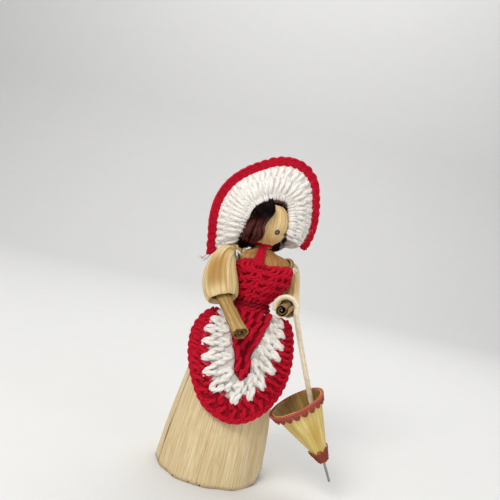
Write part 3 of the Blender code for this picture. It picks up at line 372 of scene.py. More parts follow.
class Path:
    """Frames along a route, read by the share of its length."""

    def __init__(self, points):
        self.points = [Vector(point) for point in points]
        self.along = [0.0]
        for first, second in zip(self.points, self.points[1:]):
            self.along.append(self.along[-1] + (second - first).length)
        self.length = self.along[-1]
        self.tangents = []
        for index in range(len(points)):
            ahead = self.points[min(index + 1, len(points) - 1)]
            behind = self.points[max(index - 1, 0)]
            self.tangents.append((ahead - behind).normalized())
        side = self.tangents[0].cross(ACROSS)
        if side.length < HALF:
            side = self.tangents[0].cross(UP)
        self.sides = [side.normalized()]
        for tangent in self.tangents[1:]:
            side = self.sides[-1]
            self.sides.append((side - tangent * side.dot(tangent)).normalized())

    def frame(self, share):
        distance = share * self.length
        last = len(self.points) - 1
        index = 0
        while index < last - 1 and self.along[index + 1] < distance:
            index += 1
        t = (distance - self.along[index]) / (self.along[index + 1] - self.along[index])
        held = min(max(t, 0), 1)
        point = mix(self.points[index], self.points[index + 1], held)
        tangent = mix(self.tangents[index], self.tangents[index + 1], held).normalized()
        point = point + tangent * (t - held) * (self.along[index + 1] - self.along[index])
        side = mix(self.sides[index], self.sides[index + 1], held)
        side = (side - tangent * side.dot(tangent)).normalized()
        return point, tangent, side, tangent.cross(side)

    def around(self, share, angle, radius):
        point, tangent, side, other = self.frame(share)
        return point + (side * math.cos(angle) + other * math.sin(angle)) * radius


class Ground:
    """A surface sampled over two shares, and read back with its normal."""

    def __init__(self, place, columns, rows, away, loop=False, finer=1):
        cells = [[place(i / columns, j / rows) for j in range(rows + 1)] for i in range(columns + 1)]
        points = np.array([[tuple(cell) for cell in line] for line in cells], float)
        if finer > 1:
            points = self.refined(points, finer)
        self.points = points
        self.loop = loop
        across = np.gradient(points, axis=0)
        if loop:
            across[0] = across[-1] = (points[1] - points[-2]) * HALF
        normals = unit(np.cross(across, np.gradient(points, axis=1)))
        if np.sum(normals * (points - np.array(away))) < 0:
            normals = -normals
        self.normals = normals

    @staticmethod
    def refined(points, finer):
        """More rows on a smooth curve through the given ones."""
        rows = points.shape[1] - 1
        made = []
        for index in range(rows * finer + 1):
            at = index / finer
            low = min(int(at), rows - 1)
            t = at - low
            p0, p1 = points[:, max(low - 1, 0)], points[:, low]
            p2, p3 = points[:, low + 1], points[:, min(low + 2, rows)]
            m1, m2 = (p2 - p0) * HALF, (p3 - p1) * HALF
            made.append((2 * t ** 3 - 3 * t ** 2 + 1) * p1 + (t ** 3 - 2 * t ** 2 + t) * m1
                        + (3 * t ** 2 - 2 * t ** 3) * p2 + (t ** 3 - t ** 2) * m2)
        return np.stack(made, axis=1)

    def read(self, u, v):
        """Points and normals at arrays of shares."""
        columns, rows = self.points.shape[0] - 1, self.points.shape[1] - 1
        u = np.mod(u, 1.0) if self.loop else u
        x = np.clip(u * columns, 0, columns)
        y = v * rows
        i = np.clip(np.floor(x).astype(int), 0, columns - 1)
        j = np.clip(np.floor(y).astype(int), 0, rows - 1)
        s, t = (x - i)[..., None], (y - j)[..., None]

        def blend(grid):
            low = grid[i, j] * (1 - s) + grid[i + 1, j] * s
            high = grid[i, j + 1] * (1 - s) + grid[i + 1, j + 1] * s
            return low * (1 - t) + high * t

        return blend(self.points), unit(blend(self.normals))

    def area(self):
        a = self.points
        first = np.cross(a[1:, :-1] - a[:-1, :-1], a[:-1, 1:] - a[:-1, :-1])
        second = np.cross(a[1:, 1:] - a[1:, :-1], a[1:, 1:] - a[:-1, 1:])
        return float((np.linalg.norm(first, axis=-1) + np.linalg.norm(second, axis=-1)).sum() / 2)


# Meshes

def link(name, mesh, look):
    made = bpy.data.objects.new(name, mesh)
    bpy.context.scene.collection.objects.link(made)
    for one in look if isinstance(look, (list, tuple)) else [look]:
        mesh.materials.append(one)
    mesh.shade_smooth()
    return made


def apply(made, kind, **settings):
    """Give a piece a modifier and apply it."""
    modifier = made.modifiers.new(kind.title(), kind)
    for key, value in settings.items():
        setattr(modifier, key, value)
    bpy.ops.object.select_all(action="DESELECT")
    bpy.context.view_layer.objects.active = made
    made.select_set(True)
    bpy.ops.object.modifier_apply(modifier=modifier.name)
    made.select_set(False)
    return made


def grid_piece(name, place, columns, rows, look, size, wall=0.0, loop=False, tone=None, outward=None,
               caps=False):
    """A grid of shares laid on a formula, with a UV in millimetres, a tone and a wall.

    With two looks, the second is on the wall's inner side."""
    points = []
    for j in range(rows + 1):
        for i in range(columns if loop else columns + 1):
            points.append(tuple(Vector(place(i / columns, j / rows)) + SHIFT))
    line = columns if loop else columns + 1
    faces = []
    maps = []
    for j in range(rows):
        for i in range(columns):
            right = (i + 1) % line if loop else i + 1
            faces.append((j * line + i, j * line + right, (j + 1) * line + right, (j + 1) * line + i))
            u0, u1 = i / columns * size[0] / MM, (i + 1) / columns * size[0] / MM
            v0, v1 = j / rows * size[1] / MM, (j + 1) / rows * size[1] / MM
            maps += [(u0, v0), (u1, v0), (u1, v1), (u0, v1)]
    if caps:
        faces.append(tuple(reversed(range(line))))
        faces.append(tuple(range(rows * line, rows * line + line)))
        maps += [(0.0, 0.0)] * (line * 2)
    mesh = bpy.data.meshes.new(name)
    mesh.from_pydata(points, [], faces)
    mesh.uv_layers.new(name="UVMap").uv.foreach_set("vector", np.array(maps, np.float32).ravel())
    # The tone attribute holds random tone, and painted shade where a piece darkens its recesses
    shades = mesh.attributes.new("tone", "FLOAT", "POINT")
    values = []
    for j in range(rows + 1):
        for i in range(line):
            values.append(tone(i / columns, j / rows) if tone else 0.0)
    shades.data.foreach_set("value", values)
    if outward is not None:
        centre = np.array(outward + SHIFT)
        corners = np.array(points)
        quads = np.array([face for face in faces if len(face) == 4])
        a, b, c = corners[quads[:, 0]], corners[quads[:, 1]], corners[quads[:, 2]]
        if np.sum(np.cross(b - a, c - a) * (a - centre)) < 0:
            mesh.flip_normals()
    made = link(name, mesh, look)
    if wall:
        apply(made, "SOLIDIFY", thickness=wall, offset=-1, use_even_offset=False,
              material_offset=len(mesh.materials) - 1)
    return made


class Strands:
    """Many round strands in one mesh; the UV is millimetres along and the share round."""

    def __init__(self):
        self.points = []
        self.faces = []
        self.maps = []
        self.tones = []
        self.looks = []
        self.count = 0

    def add(self, paths, radii, sides=6, closed=False, look=0, tone=0.0):
        """paths is strands by points by 3; radii and tone fit it."""
        paths = np.asarray(paths, float)
        if paths.ndim == 2:
            paths = paths[None]
        strands, count = paths.shape[:2]
        radii = np.broadcast_to(np.asarray(radii, float), (strands, count))
        if closed:
            tangents = unit(np.roll(paths, -1, axis=1) - np.roll(paths, 1, axis=1))
        else:
            tangents = unit(np.gradient(paths, axis=1))
        least = np.argmin(np.abs(tangents[:, 0]), axis=1)
        side = np.eye(3)[least]
        sides_at = []
        for index in range(count):
            tangent = tangents[:, index]
            side = unit(side - tangent * np.sum(side * tangent, axis=1, keepdims=True))
            sides_at.append(side)
        side = np.stack(sides_at, axis=1)
        other = np.cross(tangents, side)
        turn = np.arange(sides) * TAU / sides
        ring = side[:, :, None] * np.cos(turn)[:, None] + other[:, :, None] * np.sin(turn)[:, None]
        points = paths[:, :, None] + ring * radii[:, :, None, None]
        along = np.zeros((strands, count + 1))
        gaps = np.linalg.norm(np.diff(paths, axis=1), axis=2)
        along[:, 1:count] = np.cumsum(gaps, axis=1)
        along[:, count] = along[:, count - 1] + gaps[:, -1]
        along = along / MM
        bands = count if closed else count - 1
        i, j = np.meshgrid(np.arange(bands), np.arange(sides), indexing="ij")
        near, far = i * sides, (i + 1) % count * sides
        nxt = (j + 1) % sides
        quads = np.stack([near + j, near + nxt, far + nxt, far + j], axis=-1).reshape(-1, 4)
        base = self.count + np.arange(strands)[:, None, None] * count * sides
        self.faces += (quads[None] + base).reshape(-1, 4).tolist()
        u0, u1 = along[:, i], along[:, i + 1]
        v0 = np.broadcast_to(j / sides, u0.shape)
        v1 = np.broadcast_to((j + 1) / sides, u0.shape)
        corners = np.stack([
            np.stack([u0, v0], -1), np.stack([u0, v1], -1), np.stack([u1, v1], -1), np.stack([u1, v0], -1),
        ], axis=-2)
        self.maps.append(corners.reshape(-1, 2))
        made = strands * bands * sides
        if not closed:
            starts = self.count + np.arange(strands) * count * sides
            for start in starts:
                self.faces.append((start + np.arange(sides))[::-1].tolist())
                self.faces.append((start + (count - 1) * sides + np.arange(sides)).tolist())
            self.maps.append(np.zeros((strands * 2 * sides, 2)))
            made += strands * 2
        self.looks += [look] * made
        tone = np.asarray(tone, float)
        tones = np.broadcast_to(tone if tone.ndim == 2 else tone.reshape(-1, 1), (strands, count))
        self.tones.append(np.repeat(tones, sides, axis=1).ravel())
        self.points.append(points.reshape(-1, 3))
        self.count += strands * count * sides

    def piece(self, name, look):
        mesh = bpy.data.meshes.new(name)
        mesh.from_pydata((np.concatenate(self.points) + np.array(SHIFT)).tolist(), [], self.faces)
        maps = np.concatenate(self.maps).astype(np.float32).ravel()
        mesh.uv_layers.new(name="UVMap").uv.foreach_set("vector", maps)
        # The tone attribute holds painted shade, and for hair the black of its hollows
        mesh.attributes.new("tone", "FLOAT", "POINT").data.foreach_set("value", np.concatenate(self.tones))
        made = link(name, mesh, look)
        mesh.polygons.foreach_set("material_index", self.looks)
        return made


def dress(made, body, nodes=()):
    """Let a piece ride on a body and stand for its nodes."""
    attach(made, body)
    if nodes:
        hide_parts(*nodes)
    return made


# Materials

def add(tree, kind, inputs=None, **settings):
    """Add a node with its settings, and set or link its inputs."""
    node = tree.nodes.new(kind)
    for key, value in settings.items():
        setattr(node, key, value)
    for key, value in (inputs or {}).items():
        if isinstance(value, bpy.types.NodeSocket):
            tree.links.new(value, node.inputs[key])
        else:
            node.inputs[key].default_value = value
    return node


def start(name, roughness, **sockets):
    """A new material with a shader whose plain values are set on its own sockets."""
    made = bpy.data.materials.new(name)
    made.use_nodes = True
    shader = made.node_tree.nodes["Principled BSDF"]
    shader.inputs["Roughness"].default_value = roughness
    for key, value in sockets.items():
        shader.inputs[key.replace("_", " ")].default_value = value
    return made, made.node_tree, shader


def math_node(tree, operation, first, second=0.0):
    return add(tree, "ShaderNodeMath", {0: first, 1: second}, operation=operation).outputs[0]


def darker(colour, share):
    return (*[channel * share for channel in colour[:3]], 1.0)


def blend_colours(tree, share, first, second):
    node = add(tree, "ShaderNodeMix", {0: share, 6: first, 7: second}, data_type="RGBA")
    return node.outputs[2]


def shade(tree, value, stops):
    """Colour ramp over a value; stops are places and colours."""
    ramp = add(tree, "ShaderNodeValToRGB", {0: value})
    line = ramp.color_ramp
    while len(line.elements) < len(stops):
        line.elements.new(0.5)
    for element, (place, colour) in zip(line.elements, stops):
        element.position = place
        element.color = colour
    return ramp.outputs[0]


def noise(tree, vector, scale, detail=3.0, roughness=0.55):
    node = add(tree, "ShaderNodeTexNoise", {"Vector": vector, "Scale": scale, "Detail": detail,
                                            "Roughness": roughness})
    return node.outputs[0]


def scaled(tree, vector, scale):
    return add(tree, "ShaderNodeMapping", {"Vector": vector, "Scale": scale}, vector_type="TEXTURE").outputs[0]


def bump(tree, shader, height, distance, strength=1.0):
    node = add(tree, "ShaderNodeBump", {"Height": height, "Distance": distance, "Strength": strength})
    tree.links.new(node.outputs[0], shader.inputs["Normal"])


def yarn(name, colour, plies=4, ply_pitch=2.6, groove_shade_and_fleck=0.35, sheen=0.45):
    """Spun acrylic yarn: soft plies that wind round it, fine loose fibres and a pale halo at a glancing view, with
    painted shade in the grooves between plies.
    """
    made, tree, shader = start(name, 0.95, Sheen_Weight=sheen, Sheen_Roughness=0.45, Specular_IOR_Level=0.25,
                               Subsurface_Weight=0.12, Subsurface_Scale=0.0006)
    shader.inputs["Sheen Tint"].default_value = darker(colour, 1.0)
    shader.inputs["Subsurface Radius"].default_value = (1.0, 0.6, 0.5)
    uv = add(tree, "ShaderNodeTexCoord").outputs["UV"]
    parts = add(tree, "ShaderNodeSeparateXYZ", {0: uv})
    turn = math_node(tree, "MULTIPLY", parts.outputs[0], TAU / ply_pitch)
    around = math_node(tree, "MULTIPLY", parts.outputs[1], TAU * plies)
    ply = math_node(tree, "SINE", math_node(tree, "ADD", turn, around))
    # Loose fibres in all directions, 0.22 mm across, coarser than real so that they show
    place = add(tree, "ShaderNodeTexCoord").outputs["Object"]
    fibre = noise(tree, scaled(tree, place, (0.00022, 0.00022, 0.00022)), 1.0, 4.0, 0.7)
    soft = noise(tree, scaled(tree, place, (0.0016, 0.0016, 0.0016)), 1.0, 2.0)
    groove = math_node(tree, "MULTIPLY_ADD", ply, 0.5)
    groove.node.inputs[2].default_value = 0.5
    level = math_node(tree, "ADD", math_node(tree, "MULTIPLY", groove, 0.55),
                      math_node(tree, "MULTIPLY", fibre, 0.6))
    # Painted shade and highlight: darker in the grooves between plies, a little lighter on their crests, with random
    # flecks from the fibres
    tones = shade(tree, level, ((0.2, darker(colour, 1 - groove_shade_and_fleck)), (0.6, colour), (0.95, darker(colour, 1.1))))
    patch = shade(tree, soft, ((0.3, darker(colour, 1 - groove_shade_and_fleck * 0.7)), (0.7, darker(colour, 1.05))))
    mixed = blend_colours(tree, 0.35, tones, patch)
    # Painted shade: the tone attribute darkens the yarn where stitches tuck under one another and in grooves between
    # parts
    tone = add(tree, "ShaderNodeAttribute", attribute_name="tone", attribute_type="GEOMETRY").outputs["Fac"]
    tree.links.new(blend_colours(tree, tone, mixed, darker(colour, 0.22)), shader.inputs["Base Color"])
    height = math_node(tree, "ADD", math_node(tree, "MULTIPLY", groove, 0.7),
                       math_node(tree, "MULTIPLY", fibre, 0.5))
    bump(tree, shader, height, 0.00022, 0.9)
    return made


def husk(name, colour, dark, light, roughness=0.58, thin=0.08, grain=0.5, streak=0.9):
    """Dried husk leaf: parallel veins along it, streaks of tan and cream, and a low waxy sheen."""
    made, tree, shader = start(name, roughness, Specular_IOR_Level=0.4, Coat_Weight=0.06, Coat_Roughness=0.45,
                               Subsurface_Weight=thin, Subsurface_Scale=0.0008)
    shader.inputs["Subsurface Radius"].default_value = (1.0, 0.6, 0.25)
    uv = add(tree, "ShaderNodeTexCoord").outputs["UV"]
    tone = add(tree, "ShaderNodeAttribute", attribute_name="tone", attribute_type="GEOMETRY").outputs["Fac"]
    # Streaks 0.7 to 2.2 mm wide, by the leaf, and 26 mm long; fibres 0.26 mm wide and 12 mm long
    broad = noise(tree, scaled(tree, uv, (2.6, 34.0, 1.0)), 1.0, 3.0, 0.6)
    streaks = noise(tree, scaled(tree, uv, (streak, 26.0, 1.0)), 1.0, 4.0, 0.65)
    fibres = noise(tree, scaled(tree, uv, (0.26, 12.0, 1.0)), 1.0, 3.0, 0.6)
    blotch = noise(tree, scaled(tree, uv, (7.0, 9.0, 1.0)), 1.0, 3.0, 0.6)
    level = math_node(tree, "ADD", math_node(tree, "MULTIPLY", streaks, 0.50),
                      math_node(tree, "MULTIPLY", fibres, 0.32))
    level = math_node(tree, "ADD", level, math_node(tree, "MULTIPLY", broad, 0.18))
    base = shade(tree, level, ((0.38, dark), (0.50, colour), (0.62, light)))
    # Tone darkens the husk towards its dark colour: random tone, and painted shade where a piece marks laps, gathers
    # and hollows
    toned = blend_colours(tree, tone, base, dark)
    spots = shade(tree, blotch, ((0.52, (0, 0, 0, 1)), (0.78, (1, 1, 1, 1))))
    final = blend_colours(tree, math_node(tree, "MULTIPLY", spots, 0.35), toned, darker(dark, 0.9))
    tree.links.new(final, shader.inputs["Base Color"])
    gloss = shade(tree, fibres, ((0.3, (0.50,) * 3 + (1,)), (0.7, (0.68,) * 3 + (1,))))
    tree.links.new(gloss, shader.inputs["Roughness"])
    height = math_node(tree, "ADD", math_node(tree, "MULTIPLY", fibres, grain),
                       math_node(tree, "MULTIPLY", streaks, 0.7))
    bump(tree, shader, height, 0.00016, 0.8)
    return made


def hair_look(name, colour):
    """Doll hair of glossy fibre: near black in the hollows, auburn where it catches the light."""
    made, tree, shader = start(name, 0.27)
    uv = add(tree, "ShaderNodeTexCoord").outputs["UV"]
    tone = add(tree, "ShaderNodeAttribute", attribute_name="tone", attribute_type="GEOMETRY").outputs["Fac"]
    # Partly random strand colour and partly painted highlight: streaks along the strands from 0.4 to 2.6 times the
    # colour
    run = noise(tree, scaled(tree, uv, (3.0, 0.4, 1.0)), 1.0, 3.0)
    strand = shade(tree, run, ((0.35, darker(colour, 0.4)), (0.65, darker(colour, 2.6))))
    gloss = math_node(tree, "ADD", math_node(tree, "MULTIPLY", tone, 0.6), 0.06)
    tree.links.new(gloss, shader.inputs["Specular IOR Level"])
    final = blend_colours(tree, tone, darker(colour, 0.05), strand)
    tree.links.new(final, shader.inputs["Base Color"])
    bump(tree, shader, run, 0.00006, 0.6)
    return made


def wire_look(name):
    """Drawn steel wire: dull grey with fine lengthwise scratches."""
    made, tree, shader = start(name, 0.42, Metallic=1.0)
    place = add(tree, "ShaderNodeTexCoord").outputs["Object"]
    drawn = noise(tree, scaled(tree, place, (0.00015, 0.00015, 0.003)), 1.0, 3.0)
    tree.links.new(shade(tree, drawn, ((0.3, linear("77736C")), (0.7, linear("A9A59C")))), shader.inputs["Base Color"])
    tree.links.new(shade(tree, drawn, ((0.3, (0.5,) * 3 + (1,)), (0.7, (0.3,) * 3 + (1,)))), shader.inputs["Roughness"])
    bump(tree, shader, drawn, 0.00003, 0.5)
    return made


def foam_look(name):
    """Moulded foam ball: matte white beads pressed together."""
    made, tree, shader = start(name, 0.9)
    place = add(tree, "ShaderNodeTexCoord").outputs["Object"]
    cells = add(tree, "ShaderNodeTexVoronoi", {"Vector": place, "Scale": 700.0})
    tree.links.new(shade(tree, cells.outputs[0], ((0.0, linear("F4F2EC")), (0.8, linear("D9D6CC")))),
                   shader.inputs["Base Color"])
    bump(tree, shader, cells.outputs[0], 0.0003, 0.6)
    return made


def bead_look(name, code, roughness=0.14):
    """Glass seed bead: dark, glossy, with faint streaks from drawing the tube."""
    made, tree, shader = start(name, roughness, Coat_Weight=0.6, Coat_Roughness=0.08)
    place = add(tree, "ShaderNodeTexCoord").outputs["Object"]
    cloud = noise(tree, scaled(tree, place, (0.0004, 0.0004, 0.0012)), 1.0, 3.0)
    tree.links.new(shade(tree, cloud, ((0.3, darker(linear(code), 0.6)), (0.7, darker(linear(code), 1.5)))),
                   shader.inputs["Base Color"])
    bump(tree, shader, cloud, 0.00002, 0.4)
    return made


def paint_look(name, code):
    """Thin matte paint on husk, worn along the grain."""
    made, tree, shader = start(name, 0.6)
    place = add(tree, "ShaderNodeTexCoord").outputs["Object"]
    worn = noise(tree, scaled(tree, place, (0.0002, 0.0002, 0.0015)), 1.0, 3.0)
    tree.links.new(shade(tree, worn, ((0.35, linear(code)), (0.75, darker(linear(code), 1.8)))),
                   shader.inputs["Base Color"])
    bump(tree, shader, worn, 0.00003, 0.5)
    return made


LOOKS = {}


def look(name):
    """The material of that name, made the first time it is asked for."""
    if name in LOOKS:
        return LOOKS[name]
    tints = colours()
    if name == "red_yarn":
        made = yarn("red_acrylic_yarn", tuple(tints.red), groove_shade_and_fleck=0.42)
    elif name == "white_yarn":
        made = yarn("white_acrylic_yarn", tuple(tints.white), groove_shade_and_fleck=0.16, sheen=0.3)
    elif name == "coral_thread":
        made = yarn("coral_cotton_thread", tuple(tints.coral), plies=2, ply_pitch=1.1, groove_shade_and_fleck=0.45, sheen=0.25)
    elif name == "brick_thread":
        made = yarn("brick_cotton_thread", darker(tuple(tints.coral), 0.62), plies=2, ply_pitch=1.1, groove_shade_and_fleck=0.5, sheen=0.2)
    elif name == "thread":
        made = yarn("tan_cotton_thread", linear("B28D5E"), plies=2, ply_pitch=1.0, groove_shade_and_fleck=0.3, sheen=0.2)
    elif name == "pale_husk":
        made = husk("pale_corn_husk", tuple(tints.pale), linear("BE9C62"), linear("EAD9B0"))
    elif name == "inner_husk":
        made = husk("inner_corn_husk", linear("C7A970"), linear("9F7F48"), linear("DCC592"), thin=0.04)
    elif name == "cream_husk":
        made = husk("cream_corn_husk", tuple(tints.cream), linear("A87C38"), linear("F1E3BC"), thin=0.12, streak=1.3)
    elif name == "forearm_husk":
        made = husk("rolled_corn_husk", linear("B08D4C"), linear("77582A"), linear("D0B478"), streak=0.8)
    elif name == "ochre_husk":
        made = husk("ochre_corn_husk", tuple(tints.ochre), linear("7E4E1C"), linear("CFA25C"), thin=0.1, streak=1.2)
    elif name == "face_husk":
        made = husk("stretched_corn_husk", tuple(tints.face), linear("BC8E50"), linear("F0DBAE"), streak=0.7)
    elif name == "golden_husk":
        made = husk("golden_corn_husk", tuple(tints.golden), linear("BF9A3E"), linear("ECD99C"), streak=2.2)
    # Painted shade: a darker copy of the golden husk for the inside of the cone
    elif name == "golden_shaded_inside":
        made = husk("golden_husk_shaded_inside", linear("9A7A3A"), linear("6E5224"), linear("BB9A55"), streak=2.2)
    elif name == "wrap":
        made = husk("wound_husk_strip", linear("E2D2B4"), linear("CDB79A"), linear("F6EFE0"), streak=1.0)
    elif name == "hair":
        made = hair_look("auburn_doll_hair", tuple(tints.hair))
    elif name == "wire":
        made = wire_look("drawn_steel_wire")
    elif name == "foam":
        made = foam_look("moulded_foam")
    elif name == "bead":
        made = bead_look("brown_glass_bead", "2E1A12")
    elif name == "bead_heart":
        made = bead_look("tan_glass_bead", "A98A68", 0.3)
    elif name == "paint":
        made = paint_look("brown_paint", "7A3B22")
    else:
        raise ValueError("no material is called " + name)
    LOOKS[name] = made
    return made


def dress_node(node, name):
    """Give a CAD node that stays a material."""
    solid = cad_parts[node]
    for slot in solid.material_slots:
        slot.material = look(name)
    if not solid.material_slots:
        solid.data.materials.append(look(name))


# Husk shapes

def skirt_radius(height):
    swell = (height - HEM_FOOT) / (SKIRT_HEIGHT - COLLAR - HEM_FOOT)
    return WAIST_RADIUS + (HEM_RADIUS - WAIST_RADIUS) * smooth(SKIRT_SWELL, swell)


def hem_height(angle):
    across = abs(math.remainder(angle - math.radians(96), TAU)) / math.radians(52)
    return HEM_RISE * (1 - step(0, 1, across))


def skirt_point(angle, height, inward, hem):
    """Place on the skirt's outer surface, moved inward by a depth square to it."""
    lifted = hem + height * (SKIRT_HEIGHT - hem) / SKIRT_HEIGHT
    radius = skirt_radius(height if height <= HEM_FOOT else lifted)
    rise = 0.0001
    slope = (skirt_radius(lifted + rise) - skirt_radius(lifted - rise)) / (rise * 2)
    slope *= step(0, HEM_FOOT * 2, height) * (1 - step(SKIRT_HEIGHT - COLLAR * 2, SKIRT_HEIGHT - COLLAR, height))
    tilt = math.atan(-slope)
    pleat = PLEAT_DEPTH * smooth(PLEATS, height / SKIRT_HEIGHT)
    depth = inward + pleat * (1 - math.cos(angle * LEAVES * 2)) * HALF
    out = radius - depth * math.cos(tilt)
    centre = SKIRT_LEAN * lifted / SKIRT_HEIGHT
    return Vector((centre + out * math.sin(angle), -out * math.cos(angle), lifted - depth * math.sin(tilt)))


def veins(across, seed):
    """Height of the veins at a distance across a leaf, in metres."""
    main = sizes().vein
    wander = waves(across / main * 0.7, seed) * 0.9
    ridge = abs(math.sin(across / main * math.pi + wander)) ** 1.6
    fine = math.sin(across / main * math.pi * 3.3 + seed) * 0.3
    return sizes().vein_height * (fine - ridge)


def torso_section(height):
    share = (height - SKIRT_HEIGHT) / (NECK_TOP - SKIRT_HEIGHT)
    swell = smooth(BUNDLE_WIDTH, share)
    base = mix(BUNDLE_WAIST, NECK_RADIUS, step(HALF, 1, share))
    centre = TORSO_SWAY * smooth(BUNDLE_SWAY, share)
    return (Vector((centre, NECK_Y * step(HALF, 1, share), height)),
            mix(base, TORSO_HALF_WIDTH, swell), mix(base, TORSO_HALF_DEPTH, swell))


def torso_point(angle, height, outward):
    centre, half_width, half_depth = torso_section(height)
    across = (half_width + outward) * math.sin(angle)
    return centre + ACROSS * across + FRONT * (half_depth + outward) * math.cos(angle)


def chest_point(angle, height, outward):
    """The torso, and above the bodice the yoke that covers the shoulders."""
    if height < YOKE[0][0]:
        return torso_point(angle, height, outward)
    low = torso_point(angle, YOKE[0][0], outward)
    middle, wide, deep, y = (smooth(YOKE, height, column) for column in (1, 2, 3, 4))
    across, front = (math.copysign(abs(share) ** YOKE_SQUARE, share) for share in (math.sin(angle), math.cos(angle)))
    more = outward - HUSK - GAP * 2
    over = Vector((middle + across * (wide + more), y - front * (deep + more), height))
    return mix(Vector((low.x, low.y, height)), over, step(YOKE[0][0], YOKE[1][0], height))


def winding_points(path, share, radius, cord_radius, turns):
    points = []
    per_turn = 24
    pitch = cord_radius * 2 + THREAD_GAP
    for index in range(turns * per_turn + 1):
        turn = index / per_turn
        at = share + (turn - turns * HALF) * pitch / path.length
        points.append(path.around(at, turn * TAU, radius + cord_radius))
    return np.array([tuple(point) for point in points])


def twisted(strands, points, radius, plies=2, pitch=0.0022, look=0):
    """Lay plies that wind round a line, as thread and yarn do."""
    points = even(points, max(8, int(line_length(points) / pitch * 7)))
    tangents = unit(np.gradient(points, axis=0))
    side = unit(np.cross(tangents, unit(np.array([0.31, 0.52, 0.79]))))
    other = np.cross(tangents, side)
    along = np.concatenate([[0], np.cumsum(np.linalg.norm(np.diff(points, axis=0), axis=1))])
    ply = radius * (0.62 if plies == 2 else 0.52)
    for index in range(plies):
        turn = (along / pitch * TAU + TAU * index / plies)[:, None]
        off = (radius - ply) * (side * np.cos(turn) + other * np.sin(turn))
        strands.add(points + off, ply, 6, look=look)


def line_length(points):
    return float(np.linalg.norm(np.diff(np.asarray(points), axis=0), axis=1).sum())


def even(points, count):
    """The same line with a number of evenly spaced points."""
    points = np.asarray(points, float)
    along = np.concatenate([[0], np.cumsum(np.linalg.norm(np.diff(points, axis=0), axis=1))])
    at = np.linspace(0, along[-1], count)
    return np.stack([np.interp(at, along, points[:, axis]) for axis in range(3)], axis=1)


# Crochet shapes

def posts(strands, ground, starts, ends, yarn_radius, spread, lift, rng, turns=1.0, taper=0.66, count=11, depth=0.7,
          deep=0.3):
    """Crochet posts: two strands twisted round each other, from one line of loops to the next."""
    starts = np.asarray(starts, float)
    ends = np.asarray(ends, float)
    t = np.linspace(0, 1, count)
    u = starts[:, :1] + (ends[:, :1] - starts[:, :1]) * t
    v = starts[:, 1:] + (ends[:, 1:] - starts[:, 1:]) * t
    centre, normal = ground.read(u, v)
    way = unit(np.gradient(centre, axis=1))
    across = unit(np.cross(normal, way))
    swell = np.sin(np.pi * (0.06 + 0.88 * t)) ** 0.55
    phase = rng.uniform(-0.6, 0.6, len(starts))[:, None]
    lean = rng.normal(0, yarn_radius * 0.22, (len(starts), 1))
    thick = rng.uniform(0.90, 1.12, (len(starts), 1))
    for strand in range(2):
        angle = phase + strand * math.pi + turns * TAU * t
        side = (spread * np.cos(angle) * swell + lean * np.sin(np.pi * t))[..., None]
        out = (lift + spread * depth * np.sin(angle) * swell)[..., None]
        radii = yarn_radius * thick * (taper + (1 - taper) * swell)
        # Painted shade: each post darkens towards its ends, where it tucks under the next row, by deep
        strands.add(centre + across * side + normal * out, radii, 8, tone=deep * (1 - swell) * np.ones_like(thick))


def plait(strands, points, normals, yarn_radius, width, pitch, closed=False, look=0, tone=0.0):
    """Chain of loops along a line: three strands plaited, which shows as a row of slanted V shapes."""
    points = np.asarray(points, float)
    total = line_length(points)
    links = max(2, round(total / pitch))
    count = links * 8 + (0 if closed else 1)
    lines = even(points, links * 8 + 1)
    raised = even(normals, len(points))
    grid = np.linspace(0, 1, len(points))
    at = np.linspace(0, 1, links * 8 + 1)
    normal = unit(np.stack([np.interp(at, grid, raised[:, axis]) for axis in range(3)], axis=1))
    if closed:
        lines, normal, at = lines[:-1], normal[:-1], at[:-1]
        way = unit(np.roll(lines, -1, axis=0) - np.roll(lines, 1, axis=0))
    else:
        way = unit(np.gradient(lines, axis=0))
    across = unit(np.cross(normal, way))
    for strand in range(3):
        turn = (at * links / 3 + strand / 3) * TAU if not closed else (at * round(links / 3) + strand / 3) * TAU
        side = (width * np.sin(turn))[:, None]
        out = (yarn_radius * 0.75 * np.sin(turn * 2))[:, None]
        strands.add(lines[:count] + across * side + normal * out, yarn_radius, 6, closed=closed, look=look,
                    tone=tone)


def stitch_row(count, low, high, gather_low=0.0, gather_high=0.0, begin=0.0, end=1.0, group=2):
    """Starts and ends of a row of posts; a gathered end leans to its neighbours, so that groups make points."""
    starts = []
    ends = []
    for index in range(count):
        at = index + HALF
        pair_high = (index // group + HALF) * group
        pair_low = (at + group * HALF) // group * group
        starts.append((mix(begin, end, mix(at, pair_low, gather_low) / count), low))
        ends.append((mix(begin, end, mix(at, pair_high, gather_high) / count), high))
    return np.array(starts), np.array(ends)


def ground_sheet(name, ground, look_name, lift, wall, width):
    """The dense middle of a crocheted fabric, darkened as painted shade under the posts that lie on it."""
    columns, rows = ground.points.shape[0] - 1, ground.points.shape[1] - 1
    grid = ground.points + ground.normals * lift

    def place(u, v):
        i, j = round(u * columns), round(v * rows)
        return Vector(grid[i, j])

    # Painted shade between the stitches: strong on red, faint on white
    deep = 0.3 if look_name == "red_yarn" else 0.06
    size = (float(np.linalg.norm(np.diff(grid[:, rows // 2], axis=0), axis=1).sum()), width)
    return grid_piece(name, place, columns, rows, look(look_name), size, wall=wall, tone=lambda u, v: deep)


